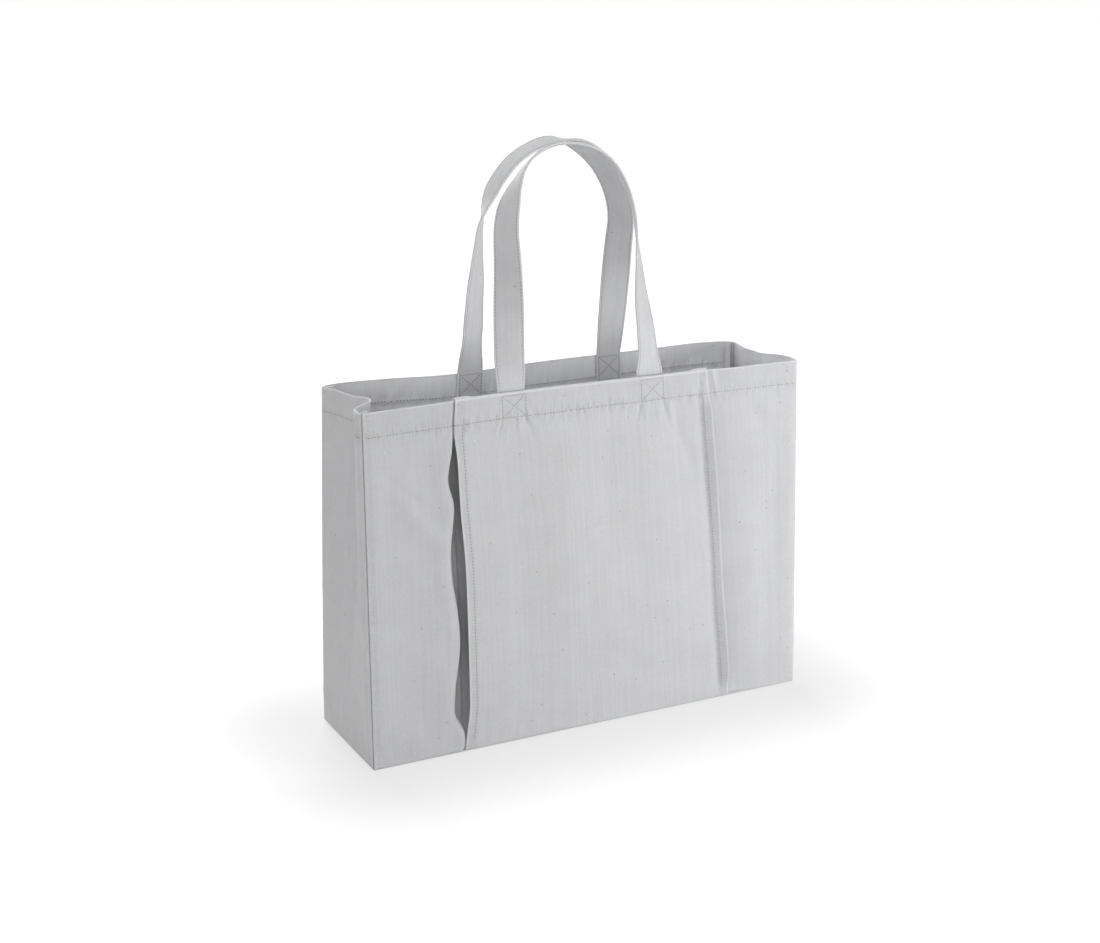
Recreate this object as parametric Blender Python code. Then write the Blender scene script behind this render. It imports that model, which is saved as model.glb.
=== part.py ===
"""Open canvas bag for a rolled exercise mat, standing empty on its flat base.

Five sewn panels make the body, a sixth makes the open-ended sleeve on its front, and two long straps
make the handles. The walls lean and fold at the rim as soft cloth does. Units are metres, +Z is up, the
front faces -Y, and the origin is the centre of the base.
"""

import math

import bmesh
import bpy
import numpy as np
from mathutils import Vector

# Driving sizes of the bag
BAG_LENGTH = 0.500
BAG_DEPTH = 0.140
BAG_HEIGHT = 0.3622

# Cloth, thread room and seams
CANVAS = 0.0008
GAP = 0.0003
HEM_DEPTH = 0.028
SEAM_ALLOWANCE = 0.013
SEAM_NOTCH = 0.016
TAPE_THICKNESS = 0.0006
TAPE_COVER = 0.005
TAPE_ROOM = 0.0005
TAPE_STEP = 0.028
TAPE_WIDENING = 0.006
TAPE_LEAD = 0.0004
TAPE_WAVER = 0.0002
TAPE_WAVER_TURN = math.radians(110)
TAPE_SPLAY = 0.0001

# Sleeve on the front, measured from the front left corner seam
SLEEVE_START = 0.102
SLEEVE_BASE_WIDTH = 0.311
SLEEVE_RIM_WIDTH = 0.285
SIDE_HEM = 0.010
PLY_STEP_NEAR = 0.003
PLY_STEP_FAR = 0.008
PLY_STEP_INSIDE = 0.022

# How far the empty sleeve stands off the wall behind it
SLEEVE_GAPE_START = 0.0120
SLEEVE_GAPE_END = 0.0078
GAPE_RISE = 0.050

# Straps
STRAP_WIDTH = 0.030
STRAP_THICKNESS = 0.0024
STRAP_SEAM_DEPTH = 0.026
FRONT_STRAP_PLACES = {"left": 0.161, "right": 0.317}
BACK_STRAP_PLACES = {"left": 0.161, "right": 0.337}
HANDLE_START = 0.006
HANDLE_RISE = 0.2290
HANDLE_LEG_RISE = 0.135
HANDLE_TOP_HALF_SPACING = {"front": 0.071, "back": 0.082}
HANDLE_TOP_OFFSET = 0.017
HANDLE_TOP_DROP = {"front": 0.006, "back": 0.0}

# How far the soft rim moves from the base rectangle
RIM_DRIFT = 0.016
WALL_BOWS = {"front": 0.0085, "right": 0.0108, "back": 0.0136, "left": 0.0265}

# Shape of the rim, as shares of the sizes above, each wall taken counter-clockwise seen from above
CORNER_DRIFT_SHARES = {
    "front_left": (-0.06, 0.06),
    "front_right": (-0.06, 1.0),
    "back_right": (-0.31, -0.44),
    "back_left": (0.31, -0.81),
}
BOW_SHARES = {
    "front": ((0.0, 0.0), (0.06, 0.2), (0.15, 0.5), (0.24, 0.86), (0.37, 1.0), (0.52, 0.84), (0.66, 0.6),
              (0.80, 0.33), (0.92, 0.12), (1.0, 0.0)),
    "right": ((0.0, 0.0), (0.13, -0.3), (0.24, -0.2), (0.33, 0.15), (0.41, 0.95), (0.55, 0.9), (0.68, 0.9),
              (0.82, 0.5), (1.0, 0.0)),
    "back": ((0.0, 0.0), (0.04, -0.72), (0.10, -1.0), (0.20, -0.76), (0.39, -0.6), (0.51, -0.37),
             (0.60, 0.07), (0.71, 0.52), (0.76, 0.38), (0.83, -0.22), (0.93, -0.66), (0.97, -0.5), (1.0, 0.0)),
    "left": ((0.0, 0.0), (0.14, 0.36), (0.32, 0.55), (0.43, 0.72), (0.49, 0.99), (0.56, 1.03), (0.62, 0.94),
             (0.68, 0.66), (0.75, 0.3), (0.82, 0.03), (0.9, -0.04), (1.0, 0.0)),
}
LEAN_POWER_SHARE = 1.2
BOW_POWER_SHARE = 2.0

# Turn of a strap from flat, as a share of a quarter turn, against its share of the way from rim to crown
STRAP_TURN_SHARES = {
    "front": {
        "left": ((0.0, 0.0), (0.073, 0.2), (0.22, 0.33), (0.36, 0.54), (0.5, 0.69), (0.6, 0.81),
                 (0.654, 0.97), (0.693, 1.08), (0.73, 1.18), (0.78, 1.23), (0.83, 1.24), (0.9, 1.2),
                 (1.0, 1.06)),
        "right": ((0.0, 0.0), (0.062, 0.22), (0.1, 0.25), (0.17, 0.31), (0.245, 0.39), (0.32, 0.49),
                  (0.39, 0.58), (0.47, 0.67), (0.6, 0.76), (0.7, 0.83), (0.8, 0.89), (0.9, 0.96),
                  (1.0, 1.06)),
    },
    "back": {
        "left": ((0.0, 0.0), (0.09, 0.19), (0.165, 0.22), (0.24, 0.28), (0.31, 0.33), (0.386, 0.44),
                 (0.456, 0.53), (0.531, 0.63), (0.575, 0.78), (0.63, 0.95), (0.67, 1.0), (0.75, 1.03),
                 (0.85, 1.05), (0.95, 1.1), (1.0, 1.06)),
        "right": ((0.0, 0.0), (0.1, 0.13), (0.26, 0.3), (0.336, 0.44), (0.41, 0.53), (0.5, 0.61),
                  (0.6, 0.67), (0.75, 0.68), (0.83, 0.69), (0.875, 0.72), (0.933, 0.86), (0.97, 0.98),
                  (1.0, 1.06)),
    },
}

# How much of the wall beside the sleeve falls back with it, from the sleeve's edge to the corner seam
GAPE_REACH_SHARE = 0.55

# Where the columns and rows of the cloth lie, as shares of the span that they divide
WALL_ROW_SHARES = (0, 0.14, 0.34, 0.55, 0.78, 1)
SLEEVE_COLUMN_SHARES = (0.2, 0.8)
BACK_COLUMN_SHARES = (0.08, 0.16, 0.24, 0.47, 0.55, 0.82, 0.90)

WALL_CORNERS = {
    "front": ("front_left", "front_right"),
    "right": ("front_right", "back_right"),
    "back": ("back_right", "back_left"),
    "left": ("back_left", "front_left"),
}
CORNER_SIGNS = {"front_left": (-1, -1), "front_right": (1, -1), "back_right": (1, 1), "back_left": (-1, 1)}

# Sizes worked out from the ones above
PLY = CANVAS + GAP
FOLD_RADIUS = CANVAS + GAP / 2
SEAT = GAP / 2
RIM_FOLD_HEIGHT = BAG_HEIGHT - 2 * PLY - FOLD_RADIUS
HEM_LINE = BAG_HEIGHT - HEM_DEPTH
WALL_LENGTHS = {"front": BAG_LENGTH, "right": BAG_DEPTH, "back": BAG_LENGTH, "left": BAG_DEPTH}
FOLD_STEPS = 4
HANDLE_STATIONS = 44
DIRECTION_STEP_SHARE = 0.02
ROOT_TWO = math.sqrt(2)

COTTON = (0.60, 0.61, 0.61, 1.0)
COTTON_SHADE = (0.50, 0.51, 0.51, 1.0)
TAPE_COTTON = (0.70, 0.71, 0.70, 1.0)


def clear_scene():
    """Remove every object of the scene."""
    for item in list(bpy.data.objects):
        bpy.data.objects.remove(item, do_unlink=True)


def make_material(name, colour, roughness):
    """Make a plain cloth material."""
    material = bpy.data.materials.new(name)
    material.use_nodes = True
    shader = material.node_tree.nodes["Principled BSDF"]
    shader.inputs["Base Color"].default_value = colour
    shader.inputs["Roughness"].default_value = roughness
    shader.inputs["Metallic"].default_value = 0
    return material


def read_curve(table, place):
    """Read a smooth curve through (place, value) pairs, held level beyond its ends."""
    if place <= table[0][0]:
        return table[0][1]
    if place >= table[-1][0]:
        return table[-1][1]
    last = len(table) - 1
    index = max(k for k in range(last) if table[k][0] <= place)
    (x0, y0), (x1, y1) = table[index], table[index + 1]
    before, after = table[max(index - 1, 0)], table[min(index + 2, last)]
    slope0 = (y1 - before[1]) / (x1 - before[0])
    slope1 = (after[1] - y0) / (after[0] - x0)
    width = x1 - x0
    t = (place - x0) / width
    blend = t * t * (3 - 2 * t)
    return y0 + (y1 - y0) * blend + width * (slope0 * t * (1 - t) ** 2 - slope1 * t * t * (1 - t))


def ease(value, low, high):
    """Rise smoothly from 0 at low to 1 at high."""
    t = min(1, max(0, (value - low) / (high - low)))
    return t * t * (3 - 2 * t)


def unit(vector):
    """Give the vector a length of 1."""
    return vector / np.linalg.norm(vector)


def turn_left(vector):
    """Turn a plan vector a quarter turn to the left."""
    return np.array((-vector[1], vector[0]))


def height_share(z):
    """Say how far up the wall a height lies."""
    return min(1, max(0, z / BAG_HEIGHT))


def corner_point(corner, z):
    """Place of a corner seam in plan, at one height."""
    signs = np.array(CORNER_SIGNS[corner])
    drift = np.array(CORNER_DRIFT_SHARES[corner]) * RIM_DRIFT * height_share(z) ** LEAN_POWER_SHARE
    return signs * np.array((BAG_LENGTH, BAG_DEPTH)) / 2 + drift


def wall_point(wall, share, z):
    """Place of a wall's outer face in plan, at a share of its length and a height."""
    start, end = (corner_point(name, z) for name in WALL_CORNERS[wall])
    along = end - start
    bow = WALL_BOWS[wall] * read_curve(BOW_SHARES[wall], share) * height_share(z) ** BOW_POWER_SHARE
    return start + along * share + turn_left(unit(along)) * bow


def wall_direction(wall, share, z):
    """Direction in which a wall runs, in plan."""
    low, high = max(0, share - DIRECTION_STEP_SHARE), min(1, share + DIRECTION_STEP_SHARE)
    return unit(wall_point(wall, high, z) - wall_point(wall, low, z))


def seam_direction(corner, z):
    """Direction in plan that halves the angle between the two walls at a corner."""
    arriving = next(wall for wall in WALL_CORNERS if WALL_CORNERS[wall][1] == corner)
    leaving = next(wall for wall in WALL_CORNERS if WALL_CORNERS[wall][0] == corner)
    return unit(wall_direction(leaving, 0, z) - wall_direction(arriving, 1, z))


def seam_normal(wall, corner, z):
    """Direction in plan from the middle of a corner seam to its side on one wall."""
    side = turn_left(seam_direction(corner, z))
    starts_here = WALL_CORNERS[wall][0] == corner
    away = wall_direction(wall, 0, z) if starts_here else -wall_direction(wall, 1, z)
    return side if side @ away > 0 else -side


def column_frame(wall, column, z):
    """Place of a column of a wall in plan and the vector that one unit of depth into the bag takes it."""
    kind, base_place, rim_place = column
    length = WALL_LENGTHS[wall]
    at_start, at_end = base_place == 0, base_place == length
    if not (at_start or at_end):
        share = (base_place + (rim_place - base_place) * height_share(z)) / length
        return wall_point(wall, share, z), turn_left(wall_direction(wall, share, z))
    corner = WALL_CORNERS[wall][0 if at_start else 1]
    side = seam_normal(wall, corner, z)
    if kind == "allowance":
        return corner_point(corner, z) + seam_direction(corner, z) * SEAM_ALLOWANCE, side
    facing = turn_left(wall_direction(wall, 0 if at_start else 1, z))
    mitre = np.linalg.solve(np.array((facing, side)), np.ones(2))
    return corner_point(corner, z), mitre


def layer_point(wall, column, row, depth, plies, inset=0):
    """Point of a cloth layer, from how deep its face lies and how many plies lie outside the wall."""
    kind, value = row
    centre = SEAT + plies * PLY + FOLD_RADIUS
    if kind == "allowance":
        z, depth, plan_height = (SEAM_ALLOWANCE + depth) / ROOT_TWO, (SEAM_ALLOWANCE - depth) / ROOT_TWO, 0
    elif kind == "foot":
        z, plan_height = depth * (1 + ROOT_TWO), 0
    elif kind == "wall":
        z, plan_height = value, value
    elif kind == "fold":
        radius = centre - depth
        z, depth = RIM_FOLD_HEIGHT + radius * math.sin(value), centre - radius * math.cos(value)
        plan_height = RIM_FOLD_HEIGHT
    else:
        z, depth, plan_height = value, 2 * centre - depth, value
    place, inward = column_frame(wall, column, plan_height)
    place = place + inward * (depth + inset)
    at_corner = column[0] == "wall" and column[1] in (0, WALL_LENGTHS[wall])
    if kind == "foot" and at_corner:
        z = PLY
        if wall in ("left", "right"):
            place = place + wall_direction(wall, 0, 0) * (PLY if column[1] == 0 else -PLY)
    return Vector((place[0], place[1], z))


def wall_rows():
    """Heights of a wall from its seam allowance over the rim to the free edge of its hem."""
    spread = RIM_FOLD_HEIGHT - HEM_LINE
    low, high = SEAM_NOTCH, HEM_LINE - GAPE_RISE
    heights = [low + (high - low) * share for share in WALL_ROW_SHARES]
    heights += [HEM_LINE - GAPE_RISE / 2, HEM_LINE - CANVAS, HEM_LINE + spread / 2]
    rows = [("allowance", 0), ("foot", 0)] + [("wall", z) for z in heights]
    rows += [("fold", math.pi * k / FOLD_STEPS) for k in range(FOLD_STEPS + 1)]
    return rows + [("lining", HEM_LINE + spread / 2), ("lining", HEM_LINE)]


def add_object(name, mesh, material):
    """Put a mesh in the scene under a node's name."""
    item = bpy.data.objects.new(name, mesh)
    mesh.materials.append(material)
    bpy.context.collection.objects.link(item)
    return item


def cloth_sheet(name, points, keep, material, turned_columns=(0,)):
    """Make a sheet of cloth from the points of its outer face, with its thickness laid inside by Solidify.

    The squares of turned_columns are split along their other diagonal, so that two sheets that lie
    face to face bend alike.
    """
    mesh = bpy.data.meshes.new(name)
    build = bmesh.new()
    corners = {}

    def vertex(i, j):
        if (i, j) not in corners:
            corners[i, j] = build.verts.new(points[i][j])
        return corners[i, j]

    for i in range(len(points) - 1):
        for j in range(len(points[0]) - 1):
            if keep(i, j):
                square = [vertex(i, j), vertex(i + 1, j), vertex(i + 1, j + 1), vertex(i, j + 1)]
                if i in turned_columns:
                    square = square[1:] + square[:1]
                build.faces.new(square[:3])
                build.faces.new((square[0], square[2], square[3]))
    build.to_mesh(mesh)
    build.free()
    item = add_object(name, mesh, material)
    shell = item.modifiers.new("cloth", "SOLIDIFY")
    shell.thickness = CANVAS
    shell.offset = -1
    shell.use_even_offset = True
    shell.use_quality_normals = True
    return item


def sleeve_places():
    """Columns of the front wall that follow the sleeve, each with the sleeve's layers lying over it."""
    base_end, rim_end = SLEEVE_START + SLEEVE_BASE_WIDTH, SLEEVE_START + SLEEVE_RIM_WIDTH
    columns = [
        (SLEEVE_START - PLY_STEP_FAR, SLEEVE_START - PLY_STEP_FAR, 0),
        (SLEEVE_START - PLY_STEP_NEAR, SLEEVE_START - PLY_STEP_NEAR, 2),
        (SLEEVE_START + SIDE_HEM + PLY_STEP_NEAR, SLEEVE_START + SIDE_HEM + PLY_STEP_NEAR, 2),
        (SLEEVE_START + PLY_STEP_INSIDE, SLEEVE_START + PLY_STEP_INSIDE, 1),
    ]
    for place in FRONT_STRAP_PLACES.values():
        columns += [(place - STRAP_WIDTH / 2, place - STRAP_WIDTH / 2, 1)]
        columns += [(place + STRAP_WIDTH / 2, place + STRAP_WIDTH / 2, 1)]
    middle_left = FRONT_STRAP_PLACES["left"] + STRAP_WIDTH
    middle_right = FRONT_STRAP_PLACES["right"] - STRAP_WIDTH
    for share in SLEEVE_COLUMN_SHARES:
        middle = middle_left + (middle_right - middle_left) * share
        columns += [(middle, middle, 1)]
    columns += [
        (base_end - PLY_STEP_INSIDE, rim_end - PLY_STEP_INSIDE, 1),
        (base_end - SIDE_HEM - PLY_STEP_NEAR, rim_end - SIDE_HEM - PLY_STEP_NEAR, 2),
        (base_end + PLY_STEP_NEAR, rim_end + PLY_STEP_NEAR, 2),
        (base_end + PLY_STEP_FAR, rim_end + PLY_STEP_FAR, 0),
    ]
    return sorted(columns)


def gape_inset(place, z):
    """Depth by which the front wall falls back behind the empty sleeve."""
    end = SLEEVE_START + SLEEVE_BASE_WIDTH + (SLEEVE_RIM_WIDTH - SLEEVE_BASE_WIDTH) * height_share(z)
    share = min(1, max(0, (place - SLEEVE_START) / (end - SLEEVE_START)))
    size = SLEEVE_GAPE_START + (SLEEVE_GAPE_END - SLEEVE_GAPE_START) * share
    size *= ease(place, SLEEVE_START - (SLEEVE_START - SEAM_NOTCH) * GAPE_REACH_SHARE, SLEEVE_START)
    size *= 1 - ease(place, end, end + (BAG_LENGTH - SEAM_NOTCH - end) * GAPE_REACH_SHARE)
    size *= ease(z, SEAM_NOTCH, SEAM_NOTCH + GAPE_RISE)
    return size * (1 - ease(z, HEM_LINE - GAPE_RISE, HEM_LINE - CANVAS))


def build_front_panel(material):
    """Front wall: flat behind its neighbours' seams, hemmed at the rim, and fallen back behind the sleeve."""
    inner = sleeve_places()
    first, last = inner[0][0], inner[-1][0]
    outer = [(SEAM_NOTCH, 0), (first / 2, 0), ((last + BAG_LENGTH) / 2, 0), (BAG_LENGTH - SEAM_NOTCH, 0)]
    columns = [("allowance", 0, 0, 0), ("wall", 0, 0, 0)]
    columns += [("wall", *column) for column in sorted([(p, p, n) for p, n in outer] + inner)]
    columns += [("wall", BAG_LENGTH, BAG_LENGTH, 0), ("allowance", BAG_LENGTH, BAG_LENGTH, 0)]
    rows = wall_rows()
    points = []
    for kind, base_place, rim_place, plies in columns:
        line = []
        for row in rows:
            over = min(plies, 1) if row[0] in ("allowance", "foot") else plies
            z = row[1] if row[0] == "wall" else 0
            place = base_place + (rim_place - base_place) * height_share(z)
            inset = gape_inset(place, z) if row[0] == "wall" else 0
            column = (kind, base_place, rim_place)
            line.append(layer_point("front", column, row, SEAT + over * PLY, over, inset))
        points.append(line)
    return cloth_sheet("front_panel", points, open_at_seam_corners(len(columns)), material)


def open_at_seam_corners(column_count):
    """Leave out the seam allowances where three seams meet."""
    def keep(i, j):
        at_side = i in (0, column_count - 2)
        near_side = i in (0, 1, column_count - 3, column_count - 2)
        return not (at_side and j <= 1) and not (near_side and j == 0)
    return keep


def build_wall(name, wall, inner_places, material):
    """One wall with its hem and its seam allowances."""
    length = WALL_LENGTHS[wall]
    places = sorted([SEAM_NOTCH, length - SEAM_NOTCH] + inner_places)
    columns = [("allowance", 0, 0), ("wall", 0, 0)] + [("wall", p, p) for p in places]
    columns += [("wall", length, length), ("allowance", length, length)]
    points = [[layer_point(wall, column, row, SEAT, 0) for row in wall_rows()] for column in columns]
    return cloth_sheet(name, points, open_at_seam_corners(len(columns)), material)


def build_base_panel(material):
    """Rectangular floor of the bag with its seam allowances turned up inside."""
    reach = SEAM_ALLOWANCE / ROOT_TWO
    seat = SEAT * ROOT_TWO
    offsets = (reach + SEAT / ROOT_TWO, seat, SEAM_NOTCH)
    heights = (reach - SEAT / ROOT_TWO, 0, 0)
    lines = {}
    for axis, size in (("x", BAG_LENGTH), ("y", BAG_DEPTH)):
        low = [(-size / 2 + offset, height) for offset, height in zip(offsets, heights)]
        lines[axis] = low + [(0, 0)] + [(-place, height) for place, height in reversed(low)]
    points = [[Vector((x, y, max(rise_x, rise_y))) for y, rise_y in lines["y"]] for x, rise_x in lines["x"]]
    last = len(lines["x"]) - 2

    def keep(i, j):
        near_x, near_y = i in (0, 1, last - 1, last), j in (0, 1, last - 1, last)
        return not ((i in (0, last) and near_y) or (j in (0, last) and near_x))

    for line in points:
        line.reverse()
    return cloth_sheet("base_panel", points, keep, material)


def build_sleeve(material):
    """Outer front panel: side edges turned in, bottom caught in the base seam, top folded in with the hem."""
    radius = FOLD_RADIUS
    face, turned, edge = SEAT, SEAT + 2 * radius, SEAT + radius
    base_end, rim_end = SLEEVE_START + SLEEVE_BASE_WIDTH, SLEEVE_START + SLEEVE_RIM_WIDTH
    columns = [
        (SLEEVE_START + SIDE_HEM, SLEEVE_START + SIDE_HEM, turned, 2),
        (SLEEVE_START + radius, SLEEVE_START + radius, turned, 2),
        (SLEEVE_START, SLEEVE_START, edge, 2),
        (SLEEVE_START + radius, SLEEVE_START + radius, face, 2),
    ]
    columns += [(base, rim, face, plies) for base, rim, plies in sleeve_places()[2:-2]]
    columns += [
        (base_end - radius, rim_end - radius, face, 2),
        (base_end, rim_end, edge, 2),
        (base_end - radius, rim_end - radius, turned, 2),
        (base_end - SIDE_HEM, rim_end - SIDE_HEM, turned, 2),
    ]
    rows = wall_rows()
    points = []
    for base, rim, depth, plies in columns:
        line = []
        for row in rows:
            low = row[0] in ("allowance", "foot")
            over = min(plies, 1) if low else plies
            line.append(layer_point("front", ("wall", base, rim), row, face if low else depth, over))
        points.append(line)
    last = len(columns) - 2

    def keep(i, j):
        return not (i in (0, 1, last - 1, last) and j <= 1)

    return cloth_sheet("mat_sleeve", points, keep, material, (0, last - 2, last - 1, last))


def strap_place(side, end):
    """Place of a strap's centre along the wall that it is sewn to, measured as the wall runs."""
    return FRONT_STRAP_PLACES[end] if side == "front" else BAG_LENGTH - BACK_STRAP_PLACES[end]


def strap_seat_depth(side):
    """Depth of the hem's inner face, where a strap lies on it."""
    plies = 1 if side == "front" else 0
    return SEAT + 2 * plies * PLY + 2 * FOLD_RADIUS + GAP


def hinge_point(side, end):
    """Centre of the hem's fold behind a strap, which the strap turns about."""
    plies = 1 if side == "front" else 0
    place = strap_place(side, end)
    plan, inward = column_frame(side, ("wall", place, place), RIM_FOLD_HEIGHT)
    plan = plan + inward * (SEAT + plies * PLY + FOLD_RADIUS)
    return Vector((plan[0], plan[1], RIM_FOLD_HEIGHT))


def strap_start(side, end):
    """Middle of the strap where it leaves the bag, and its inward direction."""
    place = strap_place(side, end)
    plan, inward = column_frame(side, ("wall", place, place), RIM_FOLD_HEIGHT)
    plan = plan + inward * (strap_seat_depth(side) + STRAP_THICKNESS / 2)
    return Vector((plan[0], plan[1], RIM_FOLD_HEIGHT + HANDLE_START)), Vector((inward[0], inward[1], 0))


def build_strap_end(side, end, material):
    """The end of a strap, sewn flat to the inside of the hem."""
    place, depth = strap_place(side, end), strap_seat_depth(side)
    top = strap_start(side, end)[0].z - GAP
    bottom = RIM_FOLD_HEIGHT - STRAP_SEAM_DEPTH
    mesh = bpy.data.meshes.new("strap_end")
    build = bmesh.new()
    rings = []
    for z in (bottom, RIM_FOLD_HEIGHT, top):
        ring = []
        for across, level in ((-1, 0), (1, 0), (1, 1), (-1, 1)):
            at = place + across * STRAP_WIDTH / 2
            plan, inward = column_frame(side, ("wall", at, at), min(z, RIM_FOLD_HEIGHT))
            plan = plan + inward * (depth + level * STRAP_THICKNESS)
            ring.append(build.verts.new((plan[0], plan[1], z)))
        rings.append(ring)
    skin_rings(build, rings)
    build.to_mesh(mesh)
    build.free()
    return add_object(f"{side}_{end}_strap_end", mesh, material)


def skin_rings(build, rings):
    """Join rings of equal count in order and close both ends."""
    count = len(rings[0])
    for low, high in zip(rings, rings[1:]):
        for k in range(count):
            following = (k + 1) % count
            build.faces.new((low[k], low[following], high[following]))
            build.faces.new((low[k], high[following], high[k]))
    build.faces.new(tuple(reversed(rings[0])))
    build.faces.new(tuple(rings[-1]))
    bmesh.ops.triangulate(build, faces=[face for face in build.faces if len(face.verts) > 3])
    bmesh.ops.recalc_face_normals(build, faces=build.faces)


def handle_path(side):
    """Stations along a handle: middle of the strap, its end, and its shares of the way and the rise."""
    starts = {end: strap_start(side, end)[0] for end in ("left", "right")}
    half_top, drop = HANDLE_TOP_HALF_SPACING[side], HANDLE_TOP_DROP[side]
    top_y = -HANDLE_TOP_OFFSET if side == "front" else HANDLE_TOP_OFFSET
    middle = (starts["left"].x + starts["right"].x) / 2
    crown = HANDLE_RISE - HANDLE_LEG_RISE - drop
    leg_share = HANDLE_LEG_RISE / (HANDLE_LEG_RISE + math.pi / 2 * crown)
    stations = []
    for k in range(HANDLE_STATIONS + 1):
        run = 2 * k / HANDLE_STATIONS - 1
        end, way_share = ("left" if run < 0 else "right"), 1 - abs(run)
        start = starts[end]
        top_x = middle + math.copysign(half_top, run)
        if way_share < leg_share:
            rise_share = way_share / leg_share
            x = start.x + (top_x - start.x) * ease(rise_share, 0, 1)
            z = start.z + HANDLE_LEG_RISE * rise_share
        else:
            turn = (way_share - leg_share) / (1 - leg_share) * math.pi / 2
            x = middle + (top_x - middle) * math.cos(turn)
            z = start.z + HANDLE_LEG_RISE + crown * math.sin(turn)
        up_share = (z - start.z) / (HANDLE_RISE - drop)
        stations.append((Vector((x, start.y + (top_y - start.y) * up_share, z)), end, way_share, up_share))
    return stations


def handle_sections(side):
    """Rectangular sections of a strap along its handle, turned as the strap turns."""
    stations = handle_path(side)
    facing = 1 if side == "front" else -1
    last = len(stations) - 1
    sections = []
    for k, (point, end, way_share, up_share) in enumerate(stations):
        tangent = (stations[min(k + 1, last)][0] - stations[max(k - 1, 0)][0]).normalized()
        if k in (0, last):
            tangent = Vector((0, 0, -1 if k else 1))
        wall_inward = strap_start(side, end)[1] * facing
        inside = wall_inward.lerp(Vector((0, 1, 0)), up_share).cross(tangent).normalized()
        across = tangent.cross(inside)
        turn = math.pi / 2 * read_curve(STRAP_TURN_SHARES[side][end], way_share)
        width = inside * math.cos(turn) - across * math.sin(turn) * facing
        half_width, half_thick = width * STRAP_WIDTH / 2, tangent.cross(width) * STRAP_THICKNESS / 2
        sections.append([
            point - half_width - half_thick,
            point + half_width - half_thick,
            point + half_width + half_thick,
            point - half_width + half_thick,
        ])
    return sections


def build_handle(side, material):
    """One strap loop, from one edge of the rim to the other."""
    pivot = bpy.data.objects.new(f"{side}_handle_pivot", None)
    bpy.context.collection.objects.link(pivot)
    centre = (hinge_point(side, "left") + hinge_point(side, "right")) / 2
    pivot.location = centre
    mesh = bpy.data.meshes.new("handle")
    build = bmesh.new()
    rings = [[build.verts.new(corner - centre) for corner in section] for section in handle_sections(side)]
    skin_rings(build, rings)
    build.to_mesh(mesh)
    build.free()
    handle = add_object(f"{side}_handle", mesh, material)
    handle.parent = pivot
    return handle


def tape_profile(outer_side, inner_side, start, end):
    """Folded tape in its own plane: along the seam allowance, and across it to each side."""
    closed, folded, lead = end + GAP, end + GAP + TAPE_THICKNESS, start - TAPE_LEAD
    inner_back, outer_back = inner_side + TAPE_THICKNESS, outer_side + TAPE_THICKNESS
    return [
        (start, inner_back + TAPE_SPLAY), (start, inner_side + TAPE_SPLAY), (closed, inner_side),
        (closed, -outer_side), (lead, -outer_side - TAPE_SPLAY), (lead, -outer_back - TAPE_SPLAY),
        (folded, -outer_back), (folded, inner_back),
    ]


def build_corner_binding(corner, material):
    """Tape folded over the raw edges of an upright seam, wider where the hem doubles the cloth."""
    mesh = bpy.data.meshes.new("binding")
    build = bmesh.new()
    plain = SEAT + CANVAS + TAPE_ROOM
    hemmed = SEAT + 2 * FOLD_RADIUS + TAPE_ROOM
    heights = [z for kind, z in wall_rows() if kind == "wall"]
    levels = [(SEAM_NOTCH + GAP, plain)]
    levels += [(z, plain) for z in heights if SEAM_NOTCH < z < HEM_LINE - 2 * TAPE_WIDENING]
    levels += [(HEM_LINE - TAPE_WIDENING, plain), (HEM_LINE - CANVAS - GAP, hemmed)]
    levels += [((HEM_LINE + RIM_FOLD_HEIGHT) / 2, hemmed), (RIM_FOLD_HEIGHT + FOLD_RADIUS, hemmed)]
    rings = []
    for z, half in levels:
        plan_height = min(z, RIM_FOLD_HEIGHT)
        origin, along = corner_point(corner, plan_height), seam_direction(corner, plan_height)
        side = turn_left(along)
        ring = []
        for reach, across in tape_profile(half, half, SEAM_ALLOWANCE - TAPE_COVER, SEAM_ALLOWANCE):
            plan = origin + along * reach + side * across
            ring.append(build.verts.new((plan[0], plan[1], z)))
        rings.append(ring)
    skin_rings(build, rings)
    build.to_mesh(mesh)
    build.free()
    return add_object(f"{corner}_binding", mesh, material)


def build_base_binding(wall, material):
    """Tape folded over the raw edges of a seam round the base."""
    mesh = bpy.data.meshes.new("binding")
    build = bmesh.new()
    plies = 1 if wall == "front" else 0
    base_side, wall_side = SEAT + CANVAS + TAPE_ROOM, SEAT + plies * PLY + CANVAS + TAPE_ROOM
    length = WALL_LENGTHS[wall]
    rings = []
    steps = round(length / TAPE_STEP)
    for step in range(steps + 1):
        place = SEAM_NOTCH + GAP + (length - 2 * SEAM_NOTCH - 2 * GAP) * step / steps
        plan, inward = column_frame(wall, ("wall", place, place), 0)
        ring = []
        waver = TAPE_WAVER * math.sin(step * TAPE_WAVER_TURN)
        shift = TAPE_WAVER * math.cos(step * TAPE_WAVER_TURN)
        for reach, across in tape_profile(base_side, wall_side, SEAM_ALLOWANCE - TAPE_COVER, SEAM_ALLOWANCE):
            depth, z = (reach + shift - across - waver) / ROOT_TWO, (reach + shift + across + waver) / ROOT_TWO
            spot = plan + inward * depth
            ring.append(build.verts.new((spot[0], spot[1], z)))
        rings.append(ring)
    skin_rings(build, rings)
    build.to_mesh(mesh)
    build.free()
    return add_object(f"{wall}_base_binding", mesh, material)


def gusset_places(wall):
    """Columns of a side wall, closer together where its fold bends."""
    length = WALL_LENGTHS[wall]
    shares = [place for place, value in BOW_SHARES[wall]]
    return [length * share for share in shares if SEAM_NOTCH < length * share < length - SEAM_NOTCH]


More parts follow.
